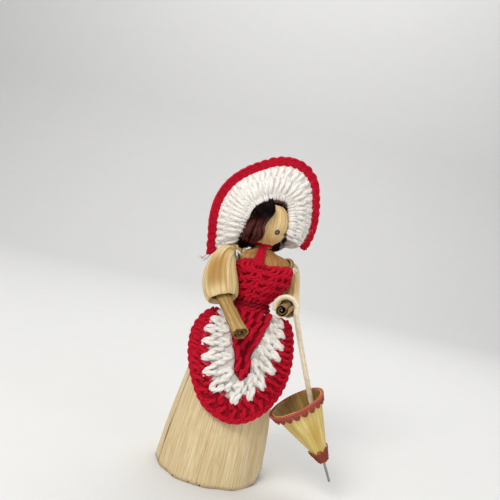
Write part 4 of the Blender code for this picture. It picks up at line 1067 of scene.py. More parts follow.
def fuzz(strands, ground, count, lift, reach, rng, low=0.0, high=1.0, first=0.0, last=1.0):
    """Loose fibres that stand off the yarn."""
    u = rng.uniform(first, last, (count, 1))
    v = rng.uniform(low, high, (count, 1))
    centre, normal = ground.read(np.repeat(u, 5, 1), np.repeat(v, 5, 1))
    sign = np.where(rng.uniform(0, 1, (count, 1, 1)) < 0.5, -1.0, 1.0)
    lean = unit(rng.normal(0, 1, (count, 1, 3)))
    curl = unit(rng.normal(0, 1, (count, 1, 3)))
    t = np.linspace(0, 1, 5)[None, :, None]
    long = rng.uniform(0.5, 1.0, (count, 1, 1)) * reach
    off = normal * sign * (abs(lift) + long * 0.55 * t) + lean * long * 0.8 * t + curl * long * 0.6 * t * t
    strands.add(centre + off, 0.000028 * (1.1 - t[..., 0] * 0.7), 3)


# Operators: each makes one piece, or a group of like pieces

class DOLL_OT_skirt(Operator):
    """Lapped husk leaves of the skirt, with veins, curled lap edges and a cut hem"""
    bl_idname = "doll.skirt"
    bl_label = "Skirt Leaves"

    def execute(self, context):
        wall = sizes().husk_wall
        inside = Vector((SKIRT_LEAN * HALF, 0, SKIRT_HEIGHT * HALF))
        for leaf in range(LEAVES):
            end = LEAF_EDGE + LEAF_ANGLE * leaf
            span = LEAF_ANGLE + LEAF_LAP

            def place(u, v):
                angle = end - span * (1 - u)
                height = SKIRT_HEIGHT * v
                across = angle * HEM_RADIUS
                curl = 0.0006 * step(0.88, 1.0, u) * (0.7 + 0.3 * waves(v * 9, leaf))
                ripple = 0.00014 * waves(angle * 9 + v * 3, leaf + 2) + 0.0001 * waves(v * 11 + angle * 4, leaf)
                inward = LEAF_LIFT * (1 - u) + 0.0001 + curl + ripple * (1 - v) - veins(across, leaf)
                point = skirt_point(angle, height, max(inward, -0.0006), hem_height(angle))
                if v == 0:
                    cut = max(0.0, waves(across / 0.0021, leaf * 3 + 1)) * 0.0003
                    notch = 0.0011 * step(0.72, 0.95, waves(across / 0.0013, leaf + 5))
                    point.z += cut + notch
                return point

            name = "skirt_husk_%d" % (leaf + 1)
            # Tone: random streaks, with painted shade on the edge under the neighbouring leaf and towards the waist
            # under the cord and apron
            made = grid_piece(name, place, 120, 40, look("pale_husk"), (span * HEM_RADIUS, SKIRT_HEIGHT),
                              wall=wall, outward=inside,
                              tone=lambda u, v, leaf=leaf: 0.12 + 0.16 * waves(u * 5, leaf) + 0.2 * (1 - step(0, 0.05, u))
                              + 0.2 * step(0.85, 1.0, v))
            dress(made, "doll", ["skirt_leaf_%d" % (leaf + 1)])

        def lining(u, v):
            angle = u * TAU
            ripple = 0.00012 * waves(angle * 8 + v * 3, 3)
            point = skirt_point(angle, SKIRT_HEIGHT * v, LINING_DEPTH + ripple - veins(angle * HEM_RADIUS, 8) * HALF,
                                0.0020 + hem_height(angle))
            return point

        made = grid_piece("skirt_inner_husk", lining, 300, 30, look("inner_husk"), (TAU * HEM_RADIUS, SKIRT_HEIGHT),
                          wall=wall, loop=True, outward=inside)
        dress(made, "doll", ["skirt_lining"])
        return {"FINISHED"}


class DOLL_OT_torso(Operator):
    """Husk bundle, chest husk and the threads that tie them"""
    bl_idname = "doll.torso"
    bl_label = "Torso"

    def execute(self, context):
        def bundle(u, v):
            angle = u * TAU
            height = mix(BUNDLE_BOTTOM, NECK_TOP, v)
            fold = 0.00018 * math.sin(angle * 17 + 2 * waves(v * 4, 1)) + veins(angle * 0.009, 2)
            return torso_point(angle, height, fold - 0.00018)

        made = grid_piece("husk_bundle", bundle, 120, 44, look("ochre_husk"),
                          (TAU * TORSO_HALF_WIDTH, NECK_TOP - BUNDLE_BOTTOM), loop=True, caps=True,
                          outward=torso_section(0.105)[0], tone=lambda u, v: 0.25 * waves(u * 8, 3))
        dress(made, "doll", ["body_bundle"])

        def wrap(u, v):
            angle = math.radians(-150) + (TAU + CHEST_LAP) * u
            height = CHEST_BOTTOM + (YOKE_TOP - CHEST_BOTTOM) * v
            gather = step(0.55, 1.0, v)
            fold = 0.0001 * waves(angle * 10 + v * 2, 6) + veins(angle * 0.0095, 5)
            fold += 0.00022 * gather * math.sin(angle * 13 + 2 * waves(angle * 2, 3))
            return chest_point(angle, height, GAP + HUSK + CHEST_LIFT * u + fold)

        # Tone: random streaks, and painted shade at the top, where the husk gathers at the neck under the chin
        made = grid_piece("chest_husk", wrap, 200, 48, look("ochre_husk"),
                          ((TAU + CHEST_LAP) * TORSO_HALF_WIDTH, CHEST_HEIGHT * 1.4), wall=sizes().husk_wall,
                          outward=torso_section(0.1026)[0],
                          tone=lambda u, v: 0.15 + 0.35 * waves(u * 16 + v, 7) + 0.3 * step(0.85, 1.0, v))
        dress(made, "doll", ["chest_wrap"])

        axis = [Vector((SKIRT_LEAN * height / SKIRT_HEIGHT, 0, height)) for height in (SKIRT_HEIGHT - COLLAR, SKIRT_HEIGHT)]
        threads = Strands()
        twisted(threads, winding_points(Path(axis), 0.42, WAIST_RADIUS + GAP, THREAD_RADIUS, 2), THREAD_RADIUS, pitch=0.0012)
        dress(threads.piece("waist_thread", look("thread")), "doll", ["waist_tie"])
        top = torso_section(NECK_TOP)[0]
        threads = Strands()
        neck = Path([top - UP * NECK_RADIUS, top + UP * NECK_RADIUS])
        twisted(threads, winding_points(neck, HALF, NECK_RADIUS + GAP, THREAD_RADIUS, 1), THREAD_RADIUS, pitch=0.0012)
        dress(threads.piece("neck_thread", look("thread")), "doll", ["neck_tie"])

        ends = [Vector(ARMS["right"]["shoulder"]), Vector(ARMS["left"]["shoulder"])]
        path = Path(ends)
        made = rolled("shoulder_husk", path, 0.02, 1 - 0.0029 / path.length, lambda at: 0.0023)
        dress(made, "doll", ["shoulder_roll"])
        dress_node("shoulder_wire", "wire")
        return {"FINISHED"}


def rolled(name, path, low, high, radius_at):
    """Husk rolled on a wire, seen as a ribbed tube with its bore open."""
    rows = 24
    outer = rows - 4

    def place(u, v):
        row = v * rows
        if row <= outer:
            share = mix(low, high, row / outer)
            fold = 0.00008 * math.sin(u * TAU * 9) + veins(u * 0.012, 4)
            return path.around(share, u * TAU, radius_at(row / outer) + fold - 0.0001)
        back = (row - outer) / (rows - outer)
        share = mix(high, low, min(1.0, max(0.0, (back - 0.25) / 0.5)))
        return path.around(share, u * TAU, WIRE_BORE)

    made = grid_piece(name, place, 40, rows, look("inner_husk"), (TAU * 0.003, path.length), loop=True)
    close_ring(made)
    return made


def close_ring(made):
    """Join the first and last rows of a tube that turns back inside itself."""
    bpy.ops.object.select_all(action="DESELECT")
    bpy.context.view_layer.objects.active = made
    made.select_set(True)
    bpy.ops.object.mode_set(mode="EDIT")
    bpy.ops.mesh.select_mode(type="EDGE")
    bpy.ops.mesh.select_all(action="DESELECT")
    bpy.ops.mesh.select_non_manifold()
    bpy.ops.mesh.bridge_edge_loops()
    bpy.ops.mesh.select_all(action="SELECT")
    bpy.ops.mesh.normals_make_consistent(inside=False)
    bpy.ops.object.mode_set(mode="OBJECT")
    made.data.shade_smooth()
    made.select_set(False)


class DOLL_OT_bodice(Operator):
    """Crocheted bodice and the halter strap round the neck"""
    bl_idname = "doll.bodice"
    bl_label = "Bodice"

    def execute(self, context):
        rng = np.random.default_rng(11)
        radius = sizes().yarn

        def place(u, v):
            angle = u * TAU
            front = (1 + math.cos(angle)) * HALF
            top = mix(BODICE_BACK, BODICE_FRONT, front * front)
            puff = BODICE_WALL * (0.45 + 0.65 * front * front) * math.sin(math.pi * min(max(v, 0), 1) ** 0.75) ** 0.6
            top += sum(rise * math.exp(-((math.degrees(math.remainder(angle, TAU)) - at) / wide) ** 2)
                       for rise, at, wide in BODICE_PEAKS)
            return chest_point(angle, BODICE_BOTTOM + top * v, BODICE_EASE + BODICE_WALL * 0.4 + puff)

        centre = torso_section(BODICE_BOTTOM + BODICE_FRONT * HALF)[0]
        ground = Ground(place, 120, 24, centre, loop=True)
        fabric = ground_sheet("bodice_fabric", ground, "red_yarn", 0.0002, 0.0005, BODICE_FRONT)
        dress(fabric, "doll", ["bodice"])
        strands = Strands()
        rows = 5
        for row in range(rows):
            count = 24
            shift = (row % 2) * HALF / count + rng.normal(0, 0.006, (count, 1))
            starts, ends = stitch_row(count, row / rows - 0.04, (row + 1) / rows + 0.04, gather_high=0.4, group=3)
            starts += shift * (1, 0)
            ends += shift * (1, 0) + rng.normal(0, 0.012, (count, 2))
            posts(strands, ground, starts, ends, radius * 1.5, radius * 1.15, 0.0001, rng, turns=0.5, depth=0.9)
        for v, lift in ((0.0, 0), (0.2, 0.0009), (0.4, 0.0010), (0.6, 0.0010), (0.8, 0.0009), (0.98, 0)):
            u = np.linspace(0, 1, 160, endpoint=False)
            points, normals = ground.read(u, np.full(160, v) + (0.012 * np.sin(u * TAU * 7 + v * 40) if lift else 0))
            points = points + normals * lift
            closed_line = np.vstack([points, points[:1]])
            # Painted shade: the lowest chain is darkened for the groove under the bodice's overhang
            plait(strands, closed_line, np.vstack([normals, normals[:1]]), radius * (1.15 if v else 0.95),
                  radius * 1.2, 0.0036, closed=True, tone=0.0 if v else 0.75)
        fuzz(strands, ground, 2600, 0.0012, 0.0019, rng)
        stitches = dress(strands.piece("bodice_stitches", look("red_yarn")), "doll")

        neck = torso_section(NECK_TOP)[0]
        strap = Strands()
        for side in (-1.5, -HALF, HALF, 1.5):
            line = []
            for height, x, y, spread in STRAP:
                line.append((x + side * spread, y, height))
            for index in range(1, 13):
                angle = side / abs(side) * math.pi * index / 12.5
                loop = NECK_RADIUS + 0.0003 + 0.0002 * abs(side)
                line.append((neck.x + loop * math.sin(angle), neck.y - loop * math.cos(angle), STRAP[-1][0] + 0.0016))
            line = even(np.array(line), 90)
            out = unit(line - np.array([neck.x, neck.y + 0.012, 0]) * [1, 1, 0] - line * [0, 0, 1])
            plait(strap, line, out, radius * 0.8, radius * 0.75, 0.0028)
        made = dress(strap.piece("halter_strap", look("red_yarn")), "doll", ["bodice_strap"])
        return {"FINISHED"}


def apron_back(x, z):
    height = min(max(z, HEM_FOOT), SKIRT_HEIGHT - COLLAR)
    off = x - APRON_X
    return -(skirt_radius(height) + APRON_EASE) + off * off / APRON_CURL * HALF


def apron_line(table, share):
    return (APRON_X + APRON_HALF_WIDTH * smooth(table, share, 1), APRON_TOP - APRON_HEIGHT * smooth(table, share, 2))


def apron_ground(inner, outer, columns, rows):
    def place(u, v):
        x0, z0 = inner(u)
        x1, z1 = outer(u)
        x, z = mix(x0, x1, v), mix(z0, z1, v)
        return Vector((x, apron_back(x, z), z))

    return Ground(place, columns, rows, Vector((APRON_X, HEM_RADIUS, APRON_TOP - APRON_HEIGHT * HALF)))


class DOLL_OT_apron(Operator):
    """Crocheted apron in three zones, and the cord that holds it at the waist"""
    bl_idname = "doll.apron"
    bl_label = "Apron"

    def execute(self, context):
        rng = np.random.default_rng(7)
        radius = sizes().yarn
        lift = APRON_WALL * 0.62
        edge = lambda u: apron_line(APRON_EDGE, u)
        band = lambda u: apron_line(APRON_BAND, u)
        heart = lambda u: apron_line(APRON_HEART, u)
        border_ground = apron_ground(band, edge, 110, 12)
        band_ground = apron_ground(heart, band, 90, 14)
        centre_ground = apron_ground(lambda u: heart(u * HALF * TONGUE), lambda u: heart(1 - u * HALF * TONGUE), 60, 16)

        strands = Strands()
        u = np.linspace(0, 1, 240)
        starts, ends = stitch_row(36, -0.22, 0.42)
        ends[:, 0] += HALF / 36
        posts(strands, border_ground, starts, ends, radius * 1.5, radius * 1.2, lift, rng, turns=0.5, depth=0.9)
        starts, ends = stitch_row(38, 0.36, 0.80)
        ends[:, 0] -= HALF / 38
        posts(strands, border_ground, starts, ends, radius * 1.55, radius * 1.25, lift, rng, turns=-0.5, depth=0.9)
        points, normals = border_ground.read(u, np.full(240, 0.90))
        plait(strands, points + normals * lift, normals, radius * 1.25, radius * 1.35, 0.0040)
        fuzz(strands, border_ground, 3000, 0.0022, 0.0019, rng)
        border = dress(strands.piece("apron_border_stitches", look("red_yarn")), "doll")
        fabric = ground_sheet("apron_border_fabric", border_ground, "red_yarn", 0.0006, 0.0005, 0.010)
        dress(fabric, "doll", ["apron_border"])
        border_ground.area() / 0.010

        strands = Strands()
        for count, low, high, pull_low, pull_high in (
            (24, 0.07, 0.48, 0.8, 0.0), (27, 0.32, 0.76, 0.0, 0.0), (30, 0.62, 1.13, 0.0, 0.9),
        ):
            starts, ends = stitch_row(count, low, high, gather_low=pull_low, gather_high=pull_high)
            posts(strands, band_ground, starts, ends, radius * 1.75, radius * 1.2, lift + 0.0007 * pull_high, rng,
                  turns=0.5, taper=0.55, depth=0.7)
        fuzz(strands, band_ground, 3600, 0.0026, 0.0022, rng)
        white = dress(strands.piece("apron_band_stitches", look("white_yarn")), "doll")
        fabric = ground_sheet("apron_band_fabric", band_ground, "white_yarn", 0.0004, 0.0005, 0.012)
        dress(fabric, "doll", ["apron_band"])
        band_ground.area() / 0.012

        strands = Strands()
        rows = 7
        for row in range(rows):
            low, high = row / rows, (row + 1) / rows
            line = centre_ground.read(np.full(30, (low + high) * HALF), np.linspace(0, 1, 30))[0]
            count = max(1, round(line_length(line) / 0.0040))
            across = mix(-0.06, 1.06, (np.arange(count) + HALF) / count)
            offset = (row % 2) * 0.25 / count
            starts = np.stack([np.full(count, low - 0.02), across + offset], 1)
            ends = np.stack([np.full(count, high + 0.03), across - offset], 1)
            posts(strands, centre_ground, starts, ends, radius * 1.45, radius * 1.25, lift + 0.0002, rng, turns=0.5)
        fuzz(strands, centre_ground, 1000, 0.0022, 0.0018, rng)
        red = dress(strands.piece("apron_centre_stitches", look("red_yarn")), "doll")
        fabric = ground_sheet("apron_centre_fabric", centre_ground, "red_yarn", 0.0006, 0.0005, 0.015)
        dress(fabric, "doll", ["apron_center"])
        centre_ground.area() / 0.032

        radius_at = WAIST_RADIUS + (GAP + THREAD_RADIUS) * 2 + 0.0011
        height = SKIRT_HEIGHT - 0.0011 - GAP
        centre = Vector((SKIRT_LEAN * height / SKIRT_HEIGHT, 0, height))
        ring = []
        out = []
        for index in range(121):
            angle = TAU * index / 120
            way = ACROSS * math.sin(angle) + FRONT * math.cos(angle)
            ring.append(tuple(centre + way * radius_at))
            out.append(tuple(way))
        cordage = Strands()
        # Painted shade: the upper chain and the core are darkened for the groove under the bodice, the lower chain a
        # little
        for rise, inward, tone in ((-0.0013, 0.0, 0.1), (0.0009, 0.0008, 0.7)):
            plait(cordage, np.array(ring) + [0, 0, rise] - np.array(out) * inward, np.array(out), radius * 1.15, 0.0009,
                  0.0036, closed=True, tone=tone)
        cordage.add(np.array(ring)[:-1] - np.array(out)[:-1] * 0.0011, 0.0012, 8, closed=True, tone=0.8)
        dress(cordage.piece("waist_cord", look("red_yarn")), "doll", ["apron_waistband"])
        return {"FINISHED"}


class DOLL_OT_arms(Operator):
    """Puffed husk sleeves, rolled forearms and the yarn ties at the shoulders"""
    bl_idname = "doll.arms"
    bl_label = "Arms"

    def execute(self, context):
        for side, arm in ARMS.items():
            self.arm(side, arm)
        return {"FINISHED"}

    def arm(self, side, arm):
        seed = 1 if side == "right" else 6
        shoulder, elbow, hand = (Vector(arm[key]) for key in ("shoulder", "elbow", "hand"))
        spine = Path(bezier(shoulder, Vector(arm["reach"]), Vector(arm["cuff"]), elbow, 16))
        lip = arm["roll"] * CUFF_EASE
        shares = [(index, row[0], row[1], row[2]) for index, row in enumerate(SLEEVE_ROWS)]
        last = len(SLEEVE_ROWS) - 1

        def sleeve(u, v):
            row = v * last
            share, swell, pleated = (smooth(shares, row, column) for column in (1, 2, 3))
            base = mix(SLEEVE_TOP, lip, step(3.5, 5.5, row)) + HUSK
            full = mix(base, arm["sleeve"], swell)
            angle = u * TAU
            crease = math.sin(angle * 10 + 1.2 * waves(angle * 2, seed)) * HALF
            crease = math.copysign(abs(crease * 2) ** 0.6, crease) * HALF
            broad = 0.00035 * waves(angle * 2 + row * 0.4, seed + 3) * swell
            pleat = 0.00062 * pleated * crease * (1 - 0.55 * step(3, 6, row)) + 0.00016 * math.sin(angle * 23) * (1 - swell)
            return spine.around(share, angle, full + pleat + broad + veins(angle * arm["sleeve"], seed) - 0.0001)

        _, _, side_way, other = spine.frame(HALF)
        facing = math.atan2((FRONT - ACROSS * 0.35).dot(other), (FRONT - ACROSS * 0.35).dot(side_way)) / TAU % 1

        # Tone: random streaks, a golden panel on the side towards the camera, and painted shade at the gathered top by
        # the tie
        def tone(u, v):
            patch = math.exp(-((u - facing) / 0.10) ** 4 - ((v - 0.47) / 0.17) ** 4)
            return min(1.0, 0.06 + 0.12 * waves(u * 14, seed) + patch * 0.95 + 0.35 * (1 - step(0.05, 0.2, v)))

        made = grid_piece(side + "_sleeve_husk", sleeve, 200, 72, look("cream_husk"),
                          (TAU * arm["sleeve"] * 0.8, spine.length), wall=sizes().husk_wall, loop=True,
                          outward=spine.frame(HALF)[0], tone=tone)
        dress(made, side + "_arm", [side + "_sleeve"])

        thin = SLEEVE_TOP - 0.00035 - GAP
        stop = 1 - (arm["roll"] * HALF + GAP) / spine.length

        def swell_at(share):
            return mix(thin, arm["roll"], smooth(ROLL_SWELL, mix(0.01, stop, share))) - 0.00015

        made = rolled(side + "_upper_husk", spine, GAP / spine.length, stop, swell_at)
        dress(made, side + "_arm", [side + "_upper_arm_roll"])
        dress_node(side + "_upper_arm_wire", "wire")

        seat, along, _, _ = spine.frame(TIE_SHARE)
        gathers = Path([seat - along * SLEEVE_TOP, seat + along * SLEEVE_TOP])
        tie = Strands()
        line = winding_points(gathers, HALF, SLEEVE_TOP + HUSK * HALF, TIE_RADIUS, 1)
        twisted(tie, line, TIE_RADIUS * 0.8, plies=3, pitch=0.0021, look=1)
        rng = np.random.default_rng(seed)
        knot = line[np.argmin(line[:, 1])]
        for way in (np.array([0.62, -0.55, -0.15]), np.array([0.25, -0.75, -0.55])):
            out = unit(way)
            tail = [knot + way * d + np.array([0, 0, -60.0]) * d * d for d in np.linspace(0, 0.0040, 7)]
            twisted(tie, np.array(tail), TIE_RADIUS * 0.8, plies=3, pitch=0.0024)
            ends = np.array(tail)[-1] + rng.normal(0, 0.0004, (16, 1, 3)) + np.linspace(0, 0.0016, 4)[None, :, None] * (
                unit(out + rng.normal(0, 0.6, (16, 3)))[:, None])
            tie.add(ends, 0.00005, 3)
        dress(tie.piece(side + "_tie_yarn", [look("white_yarn"), look("thread")]), side + "_arm",
              [side + "_shoulder_tie"])

        forearm = Path([elbow, hand])
        pitch = 0.0007 + 0.00045
        first = WIRE_BORE + 0.0007
        turns = (arm["roll"] - first) / pitch
        line = forearm.length

        def roll(u, v):
            angle = u * turns * TAU
            edge = step(0.965, 1.0, u)
            crush = 0.00016 * waves(angle * 1.5 + v * 2.5, seed + 4) * u
            crack = -0.00035 * math.exp(-((u * turns % 1 - 0.42 - 0.05 * waves(v * 5, seed)) / 0.012) ** 2) * step(0.8, 0.9, u)
            crush += u * (0.00022 * waves(v * 7 + math.sin(angle), seed) + 0.0003 * step(0.8, 1.0, v)
                          - 0.0005 * math.exp(-((v - 0.34) / 0.07) ** 2))
            radius = first + pitch * turns * u + crush + crack * (1 - edge) + 0.0002 * edge - 0.0002
            ragged = 0.0005 * waves(angle * 5, seed) * (1 if v == 1 else 0) + 0.0004 * waves(angle * 4, seed + 1) * (v == 0)
            point = forearm.around(v + ragged / line, angle, radius + veins(angle * arm["roll"], seed))
            return point + PICTURE_RIGHT * (point - forearm.frame(v)[0]).dot(PICTURE_RIGHT) * arm["press"]

        # Tone: random streaks, and painted shade on the inner turns, which lie in the roll's hollow
        made = grid_piece(side + "_forearm_husk", roll, int(turns * 64), 30, look("forearm_husk"),
                          (turns * TAU * arm["roll"] * 0.7, line), wall=0.00035,
                          tone=lambda u, v: 0.25 + 0.2 * waves(u * turns * 5, seed) + 0.7 * (1 - step(0.45, 0.75, u)))
        dress(made, side + "_forearm", [side + "_forearm_roll"])
        dress_node(side + "_forearm_wire", "wire")


def head_place(longitude, latitude, radius):
    flat = math.cos(latitude) * radius
    return HEAD + Vector((-math.sin(longitude) * flat, -math.cos(longitude) * flat, math.sin(latitude) * radius))


class DOLL_OT_head(Operator):
    """Head covered by a stretched husk, with bead eyes and painted marks"""
    bl_idname = "doll.head"
    bl_label = "Head"

    def execute(self, context):
        seat = NECK_TOP + GAP - HEAD.z
        neck = math.asin((NECK_RADIUS + HUSK) / HEAD_RADIUS)
        lowest = math.pi - neck * 1.35
        ball = 0.88

        def face(u, v):
            longitude = u * TAU
            if v <= ball:
                polar = 0.02 + (lowest - 0.02) * v / ball
                gather = step(0.55, 1.0, v / ball)
                fold = 0.00022 * gather * math.sin(longitude * 15 + waves(longitude * 3, 2))
                radius = HEAD_RADIUS - 0.00012 + fold + veins(longitude * HEAD_RADIUS * max(0.3, math.sin(polar)), 1) * 0.8
                return head_place(longitude, math.pi / 2 - polar, radius)
            down = (v - ball) / (1 - ball)
            ring = HEAD_RADIUS * math.sin(lowest)
            height = mix(HEAD_RADIUS * math.cos(lowest), seat, down)
            radius = mix(ring, NECK_RADIUS, step(0, 0.8, down)) + 0.0002 * math.sin(longitude * 15)
            return HEAD + Vector((-math.sin(longitude) * radius, -math.cos(longitude) * radius, height))

        # Tone: random streaks, and painted shade over the jaw and under the chin
        made = grid_piece("face_husk", face, 220, 70, look("face_husk"), (TAU * HEAD_RADIUS, math.pi * HEAD_RADIUS),
                          loop=True, caps=True, outward=HEAD,
                          tone=lambda u, v: 0.05 + 0.1 * waves(u * 20, 4) + 0.4 * step(0.62, 0.95, v))
        dress(made, "head", ["head_husk"])
        dress_node("head_ball", "foam")
        for name, (longitude, share) in EYES.items():
            self.eye(name, longitude, share)
        self.mark("mouth_paint", math.radians(-23), math.radians(-57), 0.0009, 0.00045)
        self.mark("lash_paint", math.radians(-50), math.radians(-24), 0.0009, 0.00012)
        return {"FINISHED"}

    def eye(self, name, longitude, share):
        """A ring bead with a pale heart, seated on the husk."""
        outward = (head_place(longitude, EYE_LATITUDE, 1) - HEAD).normalized()
        place = HEAD + outward * (HEAD_RADIUS + GAP * HALF) + SHIFT
        bpy.ops.object.select_all(action="DESELECT")
        bpy.ops.mesh.primitive_torus_add(major_radius=0.00085, minor_radius=0.00046, major_segments=40,
                                         minor_segments=20, location=(0, 0, 0))
        ring = bpy.context.object
        bpy.ops.object.mode_set(mode="EDIT")
        bpy.ops.mesh.select_all(action="SELECT")
        bpy.ops.transform.resize(value=(1, 1, 0.85), center_override=(0, 0, 0))
        bpy.ops.object.mode_set(mode="OBJECT")
        bpy.ops.object.select_all(action="DESELECT")
        bpy.ops.mesh.primitive_uv_sphere_add(segments=24, ring_count=12, radius=0.00052, location=(0, 0, -0.0001))
        heart = bpy.context.object
        bpy.ops.object.mode_set(mode="EDIT")
        bpy.ops.mesh.select_all(action="SELECT")
        bpy.ops.transform.resize(value=(1, 1, 0.42), center_override=(0, 0, -0.0001))
        bpy.ops.object.mode_set(mode="OBJECT")
        turn = Matrix.Translation(place) @ outward.to_track_quat("Z", "Y").to_matrix().to_4x4() @ Matrix.Scale(share, 4)
        for made, label, finish in ((ring, name + "_ring", "bead"), (heart, name + "_heart", "bead_heart")):
            made.data.transform(turn @ made.matrix_world)
            made.matrix_world = Matrix.Identity(4)
            made.name = label
            made.data.name = label
            made.data.materials.append(look(finish))
            made.data.shade_smooth()
        dress(ring, "head", [name])
        dress(heart, "head")

    def mark(self, name, longitude, latitude, wide, tall):
        """A small stroke of paint that lies on the husk."""
        def place(u, v):
            at = u * 2 - 1
            thick = tall * (1 - at * at) ** 0.5 if abs(at) < 1 else 0
            across = at * wide / HEAD_RADIUS
            up = (v - HALF) * thick * 2 / HEAD_RADIUS + 0.25 * at * at * wide / HEAD_RADIUS
            return head_place(longitude - across, latitude + up, HEAD_RADIUS + 0.00012)

        made = grid_piece(name, place, 24, 6, look("paint"), (wide * 2, tall * 2), wall=0.00012, outward=HEAD)
        dress(made, "head")


class DOLL_OT_hair(Operator):
    """Hair in strands: two side locks, a fringe and the back"""
    bl_idname = "doll.hair"
    bl_label = "Hair"

    def execute(self, context):
        rng = np.random.default_rng(3)
        base = HEAD_RADIUS + GAP
        degrees = math.radians
        locks = {
            "hair_right": (2, 66, -40, 52, 3.4),
            "hair_left": (-106, -82, -38, 62, 0.45),
            "hair_fringe": (-72, -2, 58, 80, 1.1),
            "hair_cap": (72, 262, -32, 78, 1.4),
        }
        for node, (first, last, low, high, share) in locks.items():
            def place(u, v, first=first, last=last, low=low, high=high):
                return head_place(degrees(mix(first, last, u)), degrees(mix(low, high, v)), base)

            if node == "hair_right":
                place = lambda u, v: lock_point(u, 1 - v, base)
            ground = Ground(place, 48, 24, HEAD)
            # Tone 0 paints the base near black, for the shade in the hollows under the strands
            under = grid_piece(node + "_base", lambda u, v: Vector(ground.read(np.array(u * 0.9999), np.array(v))[0]),
                               32, 16, look("hair"), (0.014, 0.018), wall=0.0005, outward=HEAD)
            dress(under, "head", [node])
            strands = Strands()
            count = int(sizes().strands * share)
            t = np.linspace(0, 1, 18)
            u0 = rng.uniform(0, 1, (count, 1))
            if node == "hair_right":
                u = mix(0.05 + 0.9 * u0, u0, t)
                v = 1.03 - t * rng.uniform(0.98, 1.07, (count, 1))
            elif node == "hair_fringe":
                u = mix(0.9 + 0.1 * u0, u0, t ** 0.7)
                v = mix(1.02, rng.uniform(-0.05, 0.6, (count, 1)), t)
            else:
                u = np.repeat(u0, 18, 1)
                v = 1.02 - 1.08 * t * rng.uniform(0.85, 1.0, (count, 1))
            wave = rng.uniform(0, 1.6, (count, 1)) + u0 * 5
            sway = 0.3 if node == "hair_left" else 1.0
            u = u + sway * (0.035 * np.sin(t * 16 + wave) + 0.014 * np.sin(t * 29 + wave * 2))
            points, normals = ground.read(np.clip(u, 0, 0.9999), v)
            full = 0.0021 if node == "hair_right" else 0.0012
            lift = rng.uniform(0.0003, full, (count, 1)) * (0.75 + 0.25 * np.sin(np.pi * t)) + 0.0004 * np.sin(t * 19 + wave)
            radii = sizes().hair * rng.uniform(0.8, 1.25, (count, 1)) * (1 - 0.4 * t ** 4)
            # Partly painted highlight: each clump of strands is lighter or darker, as streaks of light on the lock, and
            # stands a little farther out
            clump = rng.uniform(0, 1, 40)[(u0 * 22).astype(int)]
            red = np.clip(clump * 1.3, 0.1, 1) * rng.uniform(0.6, 1.0, (count, 1)) * np.ones_like(t)
            lift = lift + 0.0007 * clump
            # Painted shade: the long lock is near black in its upper part under the brim and at its tucked ends, the
            # side and back locks mostly near black
            if node == "hair_right":
                tail = np.clip((t - 0.97 + 0.42 * u0) / 0.05, 0, 1)
                red = red * np.clip((t - 0.34) / 0.12, 0, 1) * (1 - tail)
            elif node != "hair_fringe":
                red = red * 0.15
            strands.add(points + normals * lift[..., None], radii, 5, tone=red)
            if node == "hair_cap":
                x = rng.uniform(-0.0135, 0.0090, (150, 1))
                fall = np.stack(np.broadcast_arrays(
                    HEAD.x + x * (1 + 0.06 * t), HEAD.y + 0.0062 + 0.0004 * np.sin(x * 900 + t * 9),
                    HEAD.z - 0.006 - (0.0105 - 0.0045 * np.clip((abs(x) - 0.003) / 0.008, 0, 1)) * t), axis=-1)
                # Tone 0.05 paints the hair that falls behind the jaw near black, as shade
                strands.add(fall, sizes().hair * 1.6, 5, tone=0.05)
            dress(strands.piece(node + "_strands", look("hair")), "head")
        return {"FINISHED"}


def lock_point(across, along, reach):
    """The long lock: it falls from the parting over the side of the head and swells past its outline."""
    x, y = (mix(smooth(LOCK_FACE, along, column), smooth(LOCK_EDGE, along, column), across) for column in (1, 2))
    flat = math.hypot(x, y)
    bend = reach * LOCK_BEND
    if flat < bend:
        out = math.sqrt(reach ** 2 - flat ** 2)
    else:
        out = math.sqrt(reach ** 2 - bend ** 2) - (flat - bend) * 0.9
    return HEAD + PICTURE_RIGHT * x + PICTURE_UP * y + FRONT * out


def brim_share(angle):
    opened = step(BRIM_START - NAPE_BLEND, BRIM_START + NAPE_BLEND, angle)
    return opened * (1 - step(BRIM_END - NAPE_BLEND, BRIM_END + NAPE_BLEND, angle))


def brim_outer(angle):
    return BONNET_RADIUS * smooth(BRIM_OUTER, math.degrees(angle))


def brim_back(angle):
    return BRIM_SETBACK + BRIM_END_SETBACK * step(BRIM_END - BRIM_END_SPREAD, BRIM_END, angle)


def bonnet_place(angle, radius, depth):
    return HEAD + Vector((radius * math.cos(angle), depth - HEAD.y, radius * math.sin(angle)))


def bonnet_surface(u, row):
    """The bonnet's front surface at a share round it and a row, from the crown's middle to the brim."""
    angle = math.radians(-90) + TAU * u
    opened = brim_share(angle)
    crown = len(CROWN)
    if row < crown:
        across, back = CROWN[row]
        radius = mix(CROWN_RING, CROWN_RADIUS, across)
        return bonnet_place(angle, radius, CROWN_DEPTH * mix(max(back, NAPE_CROWN), back, opened))
    share = max(0, row - crown - 1) / (BONNET_ROWS - crown - 1)
    inner = CROWN_RADIUS * smooth(BRIM_INNER, math.degrees(angle))
    outer = brim_outer(angle) - EDGING_RADIUS * 2 - GAP
    fold = -BRIM_FOLD * smooth(BRIM_FOLDS, math.degrees(angle)) * opened
    depth = mix(fold, brim_back(angle), step(0, 1, share)) - BRIM_PUFF * math.sin(share * math.pi)
    nape_radius = CROWN_RADIUS + NAPE_STEP * (row - crown + 1)
    nape_depth = CROWN_DEPTH * NAPE_DEPTH - NAPE_STEP * (row - crown + 1)
    if row == crown:
        inner = smooth(LIP, math.degrees(angle))
        depth = min(fold, HEAD.y - math.sqrt(max(0, LIP_HUG ** 2 - inner ** 2)))
    return bonnet_place(angle, mix(nape_radius, mix(inner, outer, share), opened), mix(nape_depth, depth, opened))


